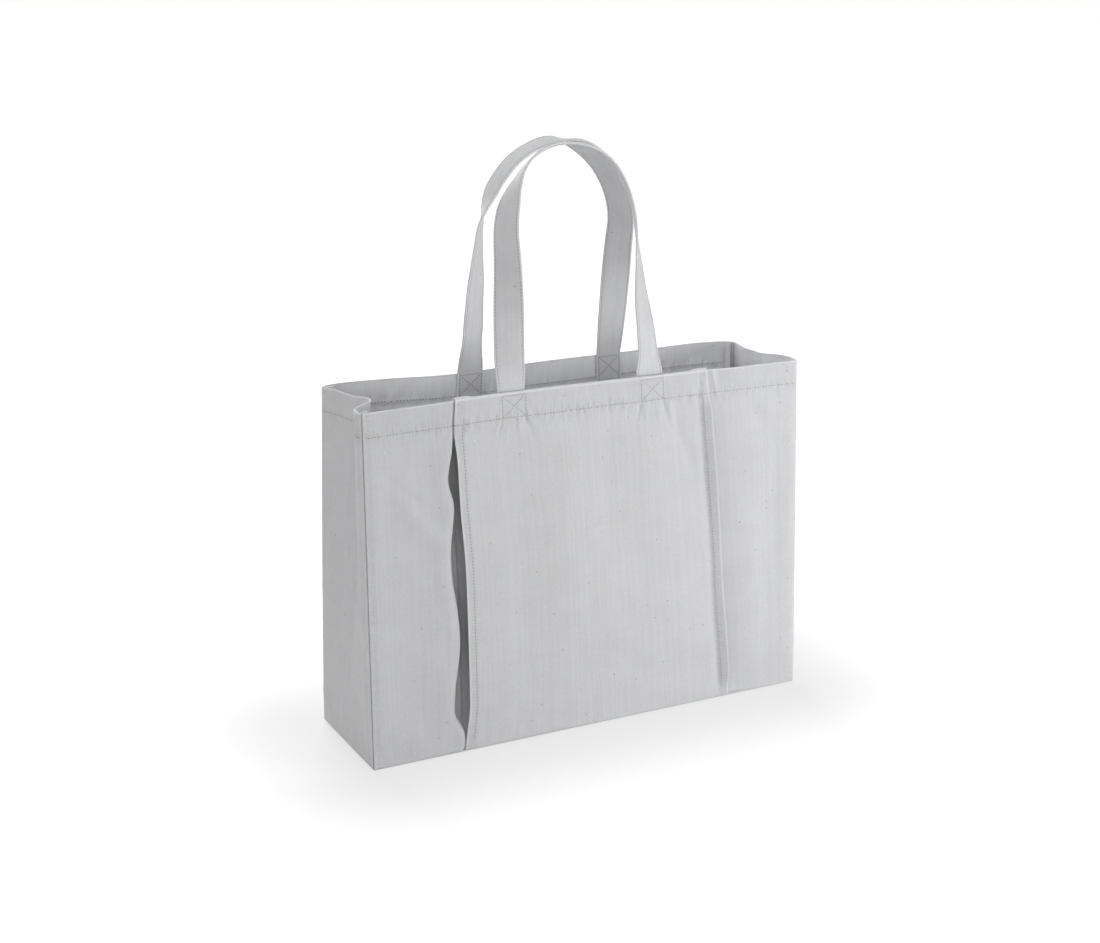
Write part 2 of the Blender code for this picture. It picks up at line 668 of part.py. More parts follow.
def back_places():
    """Columns of the back wall, with one at each edge of each strap."""
    places = [BAG_LENGTH * share for share in BACK_COLUMN_SHARES]
    for end in ("left", "right"):
        centre = strap_place("back", end)
        places += [centre - STRAP_WIDTH / 2, centre + STRAP_WIDTH / 2]
    return places


def main():
    """Make every piece of the bag."""
    clear_scene()
    wall_cloth = make_material("wall_cloth", COTTON, 0.9)
    gusset_cloth = make_material("gusset_cloth", COTTON_SHADE, 0.9)
    sleeve_cloth = make_material("sleeve_cloth", COTTON, 0.9)
    strap_cloth = make_material("strap_cloth", COTTON, 0.85)
    tape_cloth = make_material("tape_cloth", TAPE_COTTON, 0.85)
    build_front_panel(wall_cloth)
    build_wall("back_panel", "back", back_places(), wall_cloth)
    build_wall("left_gusset", "left", gusset_places("left"), gusset_cloth)
    build_wall("right_gusset", "right", gusset_places("right"), gusset_cloth)
    build_base_panel(wall_cloth)
    build_sleeve(sleeve_cloth)
    for corner in CORNER_SIGNS:
        build_corner_binding(corner, tape_cloth)
    for wall in WALL_CORNERS:
        build_base_binding(wall, tape_cloth)
    for side in ("front", "back"):
        for end in ("left", "right"):
            build_strap_end(side, end, strap_cloth)
        build_handle(side, strap_cloth)
    bpy.context.view_layer.update()


main()
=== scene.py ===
"""Looks of an open canvas bag for a rolled exercise mat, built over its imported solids.

Each cut of cloth, tape, strap and row of stitches is its own mesh, laid where its solid lies. Units are
metres, +Z is up, the front faces -Y, and the origin is the centre of the base.
"""

import logging
import math
from dataclasses import dataclass, field
from enum import Enum
from typing import ClassVar

import bpy
import numpy as np
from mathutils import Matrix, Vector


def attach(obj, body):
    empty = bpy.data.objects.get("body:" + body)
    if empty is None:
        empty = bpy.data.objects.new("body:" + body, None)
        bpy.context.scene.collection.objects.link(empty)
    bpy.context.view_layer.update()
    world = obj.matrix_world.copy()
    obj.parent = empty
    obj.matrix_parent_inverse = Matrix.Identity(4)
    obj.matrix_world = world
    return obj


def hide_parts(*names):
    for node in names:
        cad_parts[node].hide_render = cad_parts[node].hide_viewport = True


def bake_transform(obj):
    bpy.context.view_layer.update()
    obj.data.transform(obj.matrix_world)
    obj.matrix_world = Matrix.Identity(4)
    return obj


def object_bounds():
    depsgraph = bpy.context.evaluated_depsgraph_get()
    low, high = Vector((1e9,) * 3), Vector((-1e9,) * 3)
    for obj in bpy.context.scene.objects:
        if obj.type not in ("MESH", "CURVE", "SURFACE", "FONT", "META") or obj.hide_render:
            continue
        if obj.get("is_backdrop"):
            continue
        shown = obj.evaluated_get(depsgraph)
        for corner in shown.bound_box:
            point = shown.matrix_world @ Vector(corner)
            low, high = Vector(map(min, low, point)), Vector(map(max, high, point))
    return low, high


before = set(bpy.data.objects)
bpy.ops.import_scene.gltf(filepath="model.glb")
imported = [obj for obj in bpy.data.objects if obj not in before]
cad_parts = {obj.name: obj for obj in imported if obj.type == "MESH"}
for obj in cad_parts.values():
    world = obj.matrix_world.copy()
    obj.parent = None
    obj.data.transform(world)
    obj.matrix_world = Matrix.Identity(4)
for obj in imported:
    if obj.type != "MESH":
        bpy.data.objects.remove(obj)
CAD_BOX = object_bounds()
LOG = logging.getLogger("bag")

Array = np.ndarray
Pair = tuple[float, float]
Triple = tuple[float, float, float]
Curve = tuple[Pair, ...]
Socket = bpy.types.NodeSocket
Sockets = bpy.types.bpy_prop_collection
Material = bpy.types.Material
Piece = bpy.types.Object
ROOT_TWO = math.sqrt(2)
EDGE_REACH = 0.0235
EDGE_STEP = 0.0012


class Wall(Enum):
    """The four upright walls, in the order in which they follow each other seen from above."""

    FRONT = 0
    RIGHT = 1
    BACK = 2
    LEFT = 3


class Corner(Enum):
    """The four upright seams. Each wall runs from the corner of its own number to the next."""

    FRONT_LEFT = 0
    FRONT_RIGHT = 1
    BACK_RIGHT = 2
    BACK_LEFT = 3


class End(Enum):
    """The two sewn ends of a strap."""

    LEFT = 0
    RIGHT = 1


class Kind(Enum):
    """Stretches of a wall's cloth, from the base seam up, over the rim and down inside."""

    SEAM = 0
    ROLL = 1
    WALL = 2
    FOLD = 3
    LINING = 4


def ease(value: Array, low: Array, high: Array) -> Array:
    """Rise smoothly from 0 at low to 1 at high."""
    t = np.clip((np.asarray(value, float) - low) / (high - low), 0, 1)
    return t * t * (3 - 2 * t)


def bell(value: Array, middle: Array, width: Array) -> Array:
    """Rise smoothly to 1 at the middle and fall away over the width."""
    return np.exp(-(((value - middle) / width) ** 2))


def read_curve(table: Curve, places: Array) -> Array:
    """Read a smooth curve, held level beyond its ends.

    Args:
        table: Its (place, value) pairs, in order of place.
        places: Where to read it.

    Returns:
        Its values.
    """
    xs, ys = np.array(table, float).T
    places = np.clip(places, xs[0], xs[-1])
    index = np.clip(np.searchsorted(xs, places, side="right") - 1, 0, len(xs) - 2)
    before, after = np.maximum(index - 1, 0), np.minimum(index + 2, len(xs) - 1)
    slope0 = (ys[index + 1] - ys[before]) / (xs[index + 1] - xs[before])
    slope1 = (ys[after] - ys[index]) / (xs[after] - xs[index])
    width = xs[index + 1] - xs[index]
    t = (places - xs[index]) / width
    level = ys[index] + (ys[index + 1] - ys[index]) * t * t * (3 - 2 * t)
    return level + width * (slope0 * t * (1 - t) ** 2 - slope1 * t * t * (1 - t))


def unit(vectors: Array) -> Array:
    """Give each vector a length of 1."""
    return vectors / np.linalg.norm(vectors, axis=-1, keepdims=True)


def turn_left(vectors: Array) -> Array:
    """Turn plan vectors a quarter turn to the left."""
    return np.stack((-vectors[..., 1], vectors[..., 0]), axis=-1)


def raised(plan: Array, z: Array) -> Array:
    """Put plan points at their heights."""
    return np.concatenate((plan, np.broadcast_to(z, plan.shape[:-1])[..., None]), axis=-1)


def reach_along(points: Array) -> Array:
    """Length along a path at each of its points."""
    return np.concatenate(([0], np.cumsum(np.linalg.norm(np.diff(points, axis=0), axis=-1))))


def unevenness(seed: int, u: Array, v: Array) -> Array:
    """Read the smooth unevenness of sewn cloth, the same on every run.

    Args:
        seed: Number of the pattern.
        u: First coordinate, in cells.
        v: Second coordinate, in cells.

    Returns:
        Values from -1 to 1.
    """
    lattice = np.random.default_rng(seed).uniform(-1, 1, (64, 64))
    u, v = np.broadcast_arrays(np.asarray(u, float), np.asarray(v, float))
    left, low = np.floor(u).astype(int), np.floor(v).astype(int)
    s, t = ease(u - left, 0, 1), ease(v - low, 0, 1)
    lower, upper = (lattice[left % 64, row % 64] * (1 - s) + lattice[(left + 1) % 64, row % 64] * s
                    for row in (low, low + 1))
    return lower * (1 - t) + upper * t


def whole_squares(drop: Array) -> Array:
    """Squares of a grid of which no corner is dropped."""
    return ~(drop[:-1, :-1] | drop[1:, :-1] | drop[:-1, 1:] | drop[1:, 1:])


def close_near(low: float, high: float, coarse: float, spots: Pair | tuple[()]) -> Array:
    """Places from low to high, close together near some spots.

    Args:
        low: First place.
        high: Last place.
        coarse: Usual distance between places.
        spots: The spots.

    Returns:
        The places.
    """
    fine, reach = 0.0009, 0.0175
    fence = np.linspace(low, high, 4000)
    away = np.min([np.abs(fence - spot) for spot in spots] or [np.full(len(fence), 1.0)], axis=0)
    density = 1 / (fine + (coarse - fine) * ease(away, reach, reach + 0.006))
    run = np.concatenate(([0], np.cumsum((density[1:] + density[:-1]) / 2 * np.diff(fence))))
    return np.interp(np.linspace(0, run[-1], round(run[-1]) + 1), run, fence)


@dataclass(frozen=True)
class Dent:
    """A soft hollow or swelling, in millimetres: place, height, half sizes, push outward, and lean in degrees."""

    place: float
    height: float
    half_width: float
    half_height: float
    push: float
    tilt: float = 0.0

    def at(self, place: Array, z: Array) -> Array:
        """Distance by which it stands out, all in metres.

        Args:
            place: Places along the wall.
            z: Heights.

        Returns:
            Distances.
        """
        x, y = place * 1000 - self.place, z * 1000 - self.height
        lean = math.tan(math.radians(self.tilt))
        return self.push / 1000 * np.exp(-(((x - y * lean) / self.half_width) ** 2 + (y / self.half_height) ** 2))


@dataclass(frozen=True)
class Rows:
    """Rows of points up a wall's cloth: their kinds, their values there, and the heights that set their plan."""

    kinds: Array
    values: Array
    heights: Array

    def are(self, *kinds: Kind) -> Array:
        """Which rows are of these kinds."""
        return np.isin(self.kinds, [kind.value for kind in kinds])

    def short(self, notch: float) -> Array:
        """Which rows lie under the notch cut out of the allowances."""
        return self.are(Kind.SEAM, Kind.ROLL) | self.are(Kind.WALL) & (self.values < notch)


@dataclass(frozen=True)
class BagForm:
    """Where the bag's cloth lies: the base rectangle, the leaning walls and the folds at their edges."""

    length: float = 0.500
    depth: float = 0.140
    height: float = 0.3622
    canvas: float = 0.0008
    gap: float = 0.0003
    hem_depth: float = 0.028
    reaches: Triple = (0.013, 0.0085, 0.0045)
    notch: float = 0.016
    roll: float = 0.0011
    least_roll: float = 0.00022
    rim_drift: float = 0.016
    sleeve_start: float = 0.102
    sleeve_base: float = 0.311
    sleeve_rim: float = 0.285
    step_left: Pair = (0.0010, 0.0040)
    step_right: Pair = (0.0008, 0.0340)
    step_inside: Pair = (0.013, 0.022)
    left_edge: Curve = ((0.0, -0.002), (0.035, 0.002), (0.060, 0.003), (0.170, 0.0028), (0.210, 0.0012),
                        (0.252, -0.0012), (0.302, -0.0033), (0.331, -0.0042), (0.360, -0.0020))
    corner_signs: tuple[Pair, ...] = ((-1, -1), (1, -1), (1, 1), (-1, 1))
    corner_drifts: tuple[Pair, ...] = ((-0.06, 0.06), (-0.06, 1.0), (-0.31, -0.44), (0.31, -0.81))
    bow_sizes: tuple[float, ...] = (0.0085, 0.0108, 0.0136, 0.0265)
    bows: tuple[Curve, ...] = (
        ((0.0, 0.0), (0.06, 0.2), (0.15, 0.5), (0.24, 0.86), (0.37, 1.0), (0.52, 0.84), (0.66, 0.6),
         (0.80, 0.33), (0.92, 0.12), (1.0, 0.0)),
        ((0.0, 0.0), (0.13, -0.3), (0.24, -0.2), (0.33, 0.15), (0.41, 0.95), (0.55, 0.9), (0.68, 0.9),
         (0.82, 0.5), (1.0, 0.0)),
        ((0.0, 0.0), (0.04, -0.72), (0.10, -1.0), (0.20, -0.76), (0.39, -0.6), (0.51, -0.37), (0.60, 0.07),
         (0.71, 0.52), (0.76, 0.38), (0.83, -0.22), (0.93, -0.66), (0.97, -0.5), (1.0, 0.0)),
        ((0.0, 0.0), (0.14, 0.36), (0.32, 0.55), (0.43, 0.72), (0.49, 0.99), (0.56, 1.03), (0.62, 0.94),
         (0.68, 0.66), (0.75, 0.3), (0.82, 0.03), (0.9, -0.04), (1.0, 0.0)),
    )

    @property
    def ply(self) -> float:
        """One layer of cloth with the room beside it."""
        return self.canvas + self.gap

    @property
    def fold_radius(self) -> float:
        """Outer radius of cloth folded flat on itself."""
        return self.canvas + self.gap / 2

    @property
    def seat(self) -> float:
        """Depth of the outermost face under the wall's own line."""
        return self.gap / 2

    @property
    def rim(self) -> float:
        """Height at which the rim starts to turn over."""
        return self.height - 2 * self.ply - self.fold_radius

    @property
    def hem_line(self) -> float:
        """Height of the hem's free edge."""
        return self.height - self.hem_depth

    @property
    def stitch_line(self) -> float:
        """Height of the stitches that hold the hem."""
        return self.hem_line + 0.0018

    def wall_length(self, wall: Wall) -> float:
        """Length of a wall along the base."""
        return (self.length, self.depth)[wall.value % 2]

    def share_up(self, z: Array) -> Array:
        """How far up the wall a height lies, from 0 to 1."""
        return np.clip(np.asarray(z, float) / self.height, 0, 1)

    def roll_radius(self, under: Array) -> Array:
        """Radius in a rolled edge of a face at a depth under the outermost one."""
        return np.maximum(self.roll - under, self.least_roll)

    def corner_point(self, corner: Corner, z: Array) -> Array:
        """Place of an upright seam in plan, at each height."""
        drift = np.array(self.corner_drifts[corner.value]) * self.rim_drift * self.share_up(z)[..., None] ** 1.2
        return np.array(self.corner_signs[corner.value]) * np.array((self.length, self.depth)) / 2 + drift

    def wall_point(self, wall: Wall, share: Array, z: Array) -> Array:
        """Place of a wall's outer line in plan.

        Args:
            wall: The wall.
            share: Shares of its length.
            z: Heights.

        Returns:
            Plan points.
        """
        share, z = np.broadcast_arrays(np.asarray(share, float), np.asarray(z, float))
        start, end = (self.corner_point(Corner((wall.value + k) % 4), z) for k in (0, 1))
        bow = self.bow_sizes[wall.value] * read_curve(self.bows[wall.value], share) * self.share_up(z) ** 2
        return start + (end - start) * share[..., None] + turn_left(unit(end - start)) * bow[..., None]

    def wall_run(self, wall: Wall, share: Array, z: Array) -> Array:
        """Direction in which a wall runs, in plan."""
        low, high = (np.clip(np.asarray(share, float) + step, 0, 1) for step in (-0.02, 0.02))
        return unit(self.wall_point(wall, high, z) - self.wall_point(wall, low, z))

    def seam_run(self, corner: Corner, z: Array) -> Array:
        """Direction into the bag that halves the angle between the two walls at a corner."""
        leaving, arriving = Wall(corner.value), Wall((corner.value - 1) % 4)
        return unit(self.wall_run(leaving, 0.0, z) - self.wall_run(arriving, 1.0, z))

    def wall_plan(self, wall: Wall, place: Array, z: Array, inward: Array) -> Array:
        """Plan points at a depth behind a wall's outer line.

        Args:
            wall: The wall.
            place: Places along the wall.
            z: Heights.
            inward: Depths into the bag.

        Returns:
            Plan points.
        """
        share = np.asarray(place, float) / self.wall_length(wall)
        inside = turn_left(self.wall_run(wall, share, z))
        return self.wall_point(wall, share, z) + inside * np.asarray(inward, float)[..., None]

    def corner_plan(self, wall: Wall, number: int, at_end: bool, z: Array, inward: Array) -> Array:
        """Plan points of a column of a wall's cloth where it rolls into a corner seam.

        Args:
            wall: The wall.
            number: The column, counted from the raw edge: three in the allowance, then six in the roll.
            at_end: Whether the seam is at the wall's far end.
            z: Heights.
            inward: Depths of the face.

        Returns:
            Plan points.
        """
        corner = Corner((wall.value + at_end) % 4)
        origin, seam = self.corner_point(corner, z), self.seam_run(corner, z)
        run = self.wall_run(wall, float(at_end), z)
        away = -run if at_end else run
        side = turn_left(seam)
        side = np.where((side * away).sum(-1, keepdims=True) > 0, side, -side)
        if number < 3:
            return origin + seam * self.reaches[number] + side * inward[..., None]
        facing = turn_left(run)
        mitre = (facing + side) / (1 + (facing * side).sum(-1, keepdims=True))
        radius = self.roll_radius(inward - self.seat)[..., None]
        half = np.arccos(np.clip((away * seam).sum(-1, keepdims=True), -1, 1)) / 2
        centre = origin + mitre * inward[..., None] + unit(away + seam) * radius / np.sin(half)
        turn, share = math.pi - 2 * half, (number - 3) / 5
        return centre - radius * (side * np.sin((1 - share) * turn) + facing * np.sin(share * turn)) / np.sin(turn)

    def sleeve_edges(self, z: Array) -> tuple[Array, Array]:
        """Places of the sleeve's two upright edges at each height."""
        width = self.sleeve_base + (self.sleeve_rim - self.sleeve_base) * self.share_up(z)
        return self.sleeve_start + read_curve(self.left_edge, z), self.sleeve_start + width

    def edge_shift(self, place: Array, z: Array) -> Array:
        """How far the sleeve's crooked left edge carries the cloth near it along the wall."""
        return ease(place, 0.060, 0.096) * (1 - ease(place, 0.150, 0.240)) * read_curve(self.left_edge, z)

    def plies_over(self, place: Array, z: Array) -> Array:
        """Layers of the sleeve over the front panel: 0 beside it, 2 at its turned edges and 1 between.

        Args:
            place: Places along the wall.
            z: Heights.

        Returns:
            Counts of layers.
        """
        left, right = self.sleeve_edges(z)
        outside = 2 * (1 - ease(left - place, *self.step_left)) * (1 - ease(place - right, *self.step_right))
        return outside - ease(np.minimum(place - left, right - place), *self.step_inside)

    def rows(self) -> Rows:
        """Rows of a wall's cloth from its base seam to the free edge of its hem.

        Returns:
            The rows.
        """
        high = self.stitch_line - 0.014
        parts = (
            self.reaches,
            np.radians((-45, -72, -99, -126, -153, -180)),
            np.concatenate((np.linspace(0.0045, 0.020, 8), np.linspace(0.020, high, 110)[1:],
                            np.linspace(high, self.rim, 48)[1:-1])),
            np.linspace(0, math.pi, 9),
            np.linspace(self.rim, self.hem_line, 19)[1:],
        )
        kinds, values = np.repeat(range(5), [len(part) for part in parts]), np.concatenate(parts)
        low, fold = kinds < Kind.WALL.value, kinds == Kind.FOLD.value
        return Rows(kinds, values, np.where(low, 0, np.where(fold, self.rim, values)))

    def section(self, depth: Array, plies: Array) -> tuple[Array, Array]:
        """Follow the cloth up a wall and over the rim.

        Args:
            depth: Depth of the face for each column and row.
            plies: Layers that lie outside the wall's own, for each column and row.

        Returns:
            Heights and depths into the bag, for each column and row.
        """
        rows = self.rows()
        kinds, value = [rows.are(kind) for kind in (Kind.SEAM, Kind.ROLL, Kind.FOLD, Kind.LINING)], rows.values
        centre, radius = self.seat + plies * self.ply + self.fold_radius, self.roll_radius(depth - self.seat)
        z = ((value + depth) / ROOT_TWO, (depth + radius) * (1 + ROOT_TWO) + radius * np.sin(value),
             self.rim + (centre - depth) * np.sin(value), value)
        inward = ((value - depth) / ROOT_TWO, depth + radius + radius * np.cos(value),
                  centre - (centre - depth) * np.cos(value), 2 * centre - depth)
        return np.select(kinds, z, value), np.select(kinds, inward, depth)


@dataclass(frozen=True)
class Relief:
    """How the cloth of each wall stands off its smooth line: bellies, dents, and puckers along the seams."""

    form: BagForm
    belly: float = 0.0015
    pucker: float = 0.00060
    puff: float = 0.0016
    box: Pair = (0.0255, 0.0212)
    box_rise: float = 0.0006
    straps: tuple[Pair | tuple[()], ...] = ((0.1640, 0.3205), (), (0.500 - 0.1632, 0.500 - 0.3385), ())
    dents: tuple[tuple[Dent, ...], ...] = (
        (
            Dent(50, 268, 10, 30, -3, -42), Dent(34, 285, 12, 34, 2.2, -30), Dent(64, 240, 14, 36, 2.6, -30),
            Dent(18, 235, 10, 50, -1.6, 10), Dent(40, 150, 20, 50, -2.6, 12), Dent(72, 110, 16, 60, 2.6),
            Dent(60, 45, 24, 30, -2, -25), Dent(455, 300, 12, 30, -2, -38), Dent(396, 348, 2.2, 12, 1, -10),
            Dent(401, 347, 2.4, 12, -1.1, -14), Dent(377, 344, 2.2, 14, -0.9, 6), Dent(383, 340, 2.4, 16, 0.9, 4),
            Dent(148, 327, 2, 11, -1.2, 16), Dent(179.5, 326, 2.2, 12, -1.3, -18),
            Dent(187, 323, 2.6, 13, 1, -22), Dent(155, 324, 2.2, 9, 0.8, 6), Dent(169, 324, 2, 9, 0.8, -4),
            Dent(305, 326, 2, 13, -1.3, 18), Dent(336, 324, 2.2, 14, -1.4, -14),
            Dent(344, 318, 2.8, 18, 1.2, -20), Dent(313, 324, 2.2, 9, 0.8, 6), Dent(327, 324, 2, 9, 0.8, -4),
            Dent(352, 300, 4, 24, -1.2, -18), Dent(436, 130, 24, 80, 2.2, 6), Dent(470, 200, 10, 60, -1.4),
        ),
        (
            Dent(80, 190, 28, 80, -3), Dent(11, 190, 12, 190, 4.2),
        ),
        (
            Dent(140, 210, 60, 50, -3, 25), Dent(340, 150, 70, 60, 2.5, -20),
        ),
        (
            Dent(70, 200, 30, 80, -3, 4), Dent(105, 110, 20, 60, 1.8, -8), Dent(14, 315, 20, 50, 2.8),
            Dent(16, 120, 30, 60, -2),
        ),
    )

    def out(self, wall: Wall, place: Array, z: Array) -> Array:
        """Distance by which the cloth stands out.

        Args:
            wall: The wall.
            place: Places along it.
            z: Heights.

        Returns:
            Distances, outward.
        """
        form, length, seed = self.form, self.form.wall_length(wall), 11 + 7 * wall.value
        place, z = np.broadcast_arrays(np.asarray(place, float), np.asarray(z, float))
        edge, line = np.minimum(place, length - place), form.stitch_line
        inside = ease(edge, 0.003, min(0.05, length / 3)) * ease(z, 0.004, 0.06)
        calm = 1 - 0.7 * ease(z, form.hem_line - 0.03, form.hem_line)
        belly = unevenness(seed, place / 0.075, z / 0.095) + 0.45 * unevenness(seed + 1, place / 0.028, z / 0.042)
        out = (self.belly * belly * calm + sum(dent.at(place, z) for dent in self.dents[wall.value])) * inside
        near = ease(edge, 0.003, 0.012)
        tuck = unevenness(seed + 2, place / 0.0036, z / 0.05 + 3)
        tuck = tuck * (1 + 0.7 * unevenness(seed + 6, place / 0.034, 0.5))
        below, above = bell(z, line - 0.0042, 0.0052), bell(z, line + 0.0036, 0.0036)
        drawn = self.pucker * (tuck * (1.9 * below + 1.3 * above) + 0.4 * below)
        out = out + near * (drawn - 0.00012 * bell(z, line, 0.0012))
        puff = ease(edge, 0.0030, 0.0075) * (1 - ease(edge, 0.008, 0.030)) * ease(z, 0.006, 0.03)
        out = out + self.puff * puff * calm
        band = ease(z, line, line + 0.006) * (1 - ease(z, form.rim - 0.007, form.rim))
        out = out + 0.00055 * unevenness(seed + 5, place / 0.0085 + (z - line) * 30, z / 0.04) * band * near
        side = ease(edge, 0.003, 0.007) * (1 - ease(edge, 0.008, 0.024)) * ease(z, 0.006, 0.02)
        out = out + 0.9 * self.pucker * unevenness(seed + 3, z / 0.0075, place / 0.2) * side
        foot = ease(z, 0.0045, 0.008) * (1 - ease(z, 0.009, 0.026))
        out = out + 0.8 * self.pucker * unevenness(seed + 4, place / 0.008, z / 0.2) * foot * near
        return out + self.strap_press(wall, place, z)

    def strap_press(self, wall: Wall, place: Array, z: Array) -> Array:
        """How a sewn strap end shows through the hem: a raised patch, drawn in along its crossed box.

        Args:
            wall: The wall.
            place: Places along it.
            z: Heights.

        Returns:
            Distances, outward.
        """
        out, low = np.zeros(place.shape), self.form.stitch_line + self.box_rise
        width, height = self.box[0] / 2, self.box[1] / 2
        for centre in self.straps[wall.value]:
            across, up = np.abs(place - centre), np.abs(z - low - height)
            patch = (1 - ease(across, 0.0138, 0.0162)) * ease(z, low - 0.002, low + 0.001)
            lines = bell(across, width, 0.0009) + bell(up, height, 0.0009)
            lines = np.clip(lines + bell(across / width, up / height, 0.10), 0, 1)
            out = out + 0.0006 * patch - 0.00038 * lines * ((across < width + 0.001) & (up < height + 0.001))
        return out

    def surface(self, wall: Wall, place: Array, z: Array, inward: Array) -> tuple[Array, Array]:
        """Points on a face of a wall, and the directions out of the bag there.

        Args:
            wall: The wall.
            place: Places along it.
            z: Heights.
            inward: Depths of the face.

        Returns:
            Points and unit outward vectors.
        """
        place, z, inward = np.broadcast_arrays(*(np.asarray(x, float) for x in (place, z, inward)))
        level = np.minimum(z, self.form.rim)
        plan = self.form.wall_plan(wall, place, level, inward - self.out(wall, place, level))
        outward = -turn_left(self.form.wall_run(wall, place / self.form.wall_length(wall), level))
        return raised(plan, z), raised(outward, 0.0)


class NodeBench:
    """Short ways to lay out shader nodes."""

    def __init__(self, tree: bpy.types.NodeTree) -> None:
        """Work in one node tree."""
        self.tree = tree

    def feed(self, socket: Socket, value: object) -> None:
        """Link a socket into an input, or set its value.

        Args:
            socket: The input.
            value: The socket or the value.
        """
        if isinstance(value, Socket):
            self.tree.links.new(value, socket)
        else:
            socket.default_value = value

    def add(self, kind: str, inputs: dict[str | int, object] | None = None, **settings: object) -> Sockets:
        """Add a node.

        Args:
            kind: Its type's name without the leading ShaderNode.
            inputs: Values or sockets for its inputs, by name or number.
            settings: Its properties.

        Returns:
            Its outputs.
        """
        node = self.tree.nodes.new("ShaderNode" + kind)
        for key, value in settings.items():
            setattr(node, key, value)
        for key, value in (inputs or {}).items():
            self.feed(node.inputs[key], value)
        return node.outputs

    def sum(self, kind: str, *values: object) -> Socket:
        """Work out one number from up to three others."""
        return self.add("Math", dict(enumerate(values)), operation=kind)[0]

    def spread(self, *values: object) -> Socket:
        """Map a value smoothly from between the next two to between the last two."""
        return self.add("MapRange", dict(enumerate(values)), interpolation_type="SMOOTHSTEP")[0]

    def blend(self, share: object, first: object, second: object) -> Socket:
        """Mix two colours."""
        return self.add("Mix", {0: share, 6: first, 7: second}, data_type="RGBA")[2]

    def noise(self, vector: object, scale: float, detail: float = 2.0) -> Socket:
        """Noise in the cloth's own metres."""
        return self.add("TexNoise", {"Vector": vector, "Scale": scale, "Detail": detail})[0]

    def mark(self, name: str) -> Socket:
        """Read a number that the mesh carries at its points."""
        return self.add("Attribute", attribute_name=name)["Fac"]

    def scaled(self, colour: Triple, share: object) -> Socket:
        """Make a colour lighter or darker."""
        return self.add("VectorMath", {0: colour, "Scale": share}, operation="SCALE")[0]

    def seen_rays(self) -> Socket:
        """Share of rays that carry the background: seen, mirrored or passed through.

        Returns:
            The share.
        """
        path = self.add("LightPath")
        mirrored = self.sum("MAXIMUM", path["Is Camera Ray"], path["Is Glossy Ray"])
        return self.sum("MAXIMUM", mirrored, path["Is Transmission Ray"])


class MaterialBench(NodeBench):
    """A bench that starts a material with one principled shader."""

    def __init__(self, name: str) -> None:
        """Start the material.

        Args:
            name: Its name.
        """
        self.material = bpy.data.materials.new(name)
        self.material.use_nodes = True
        super().__init__(self.material.node_tree)

    def shade(self, **values: object) -> None:
        """Set the shader's inputs, with _ for a space in a name."""
        for key, value in values.items():
            self.feed(self.tree.nodes["Principled BSDF"].inputs[key.replace("_", " ")], value)


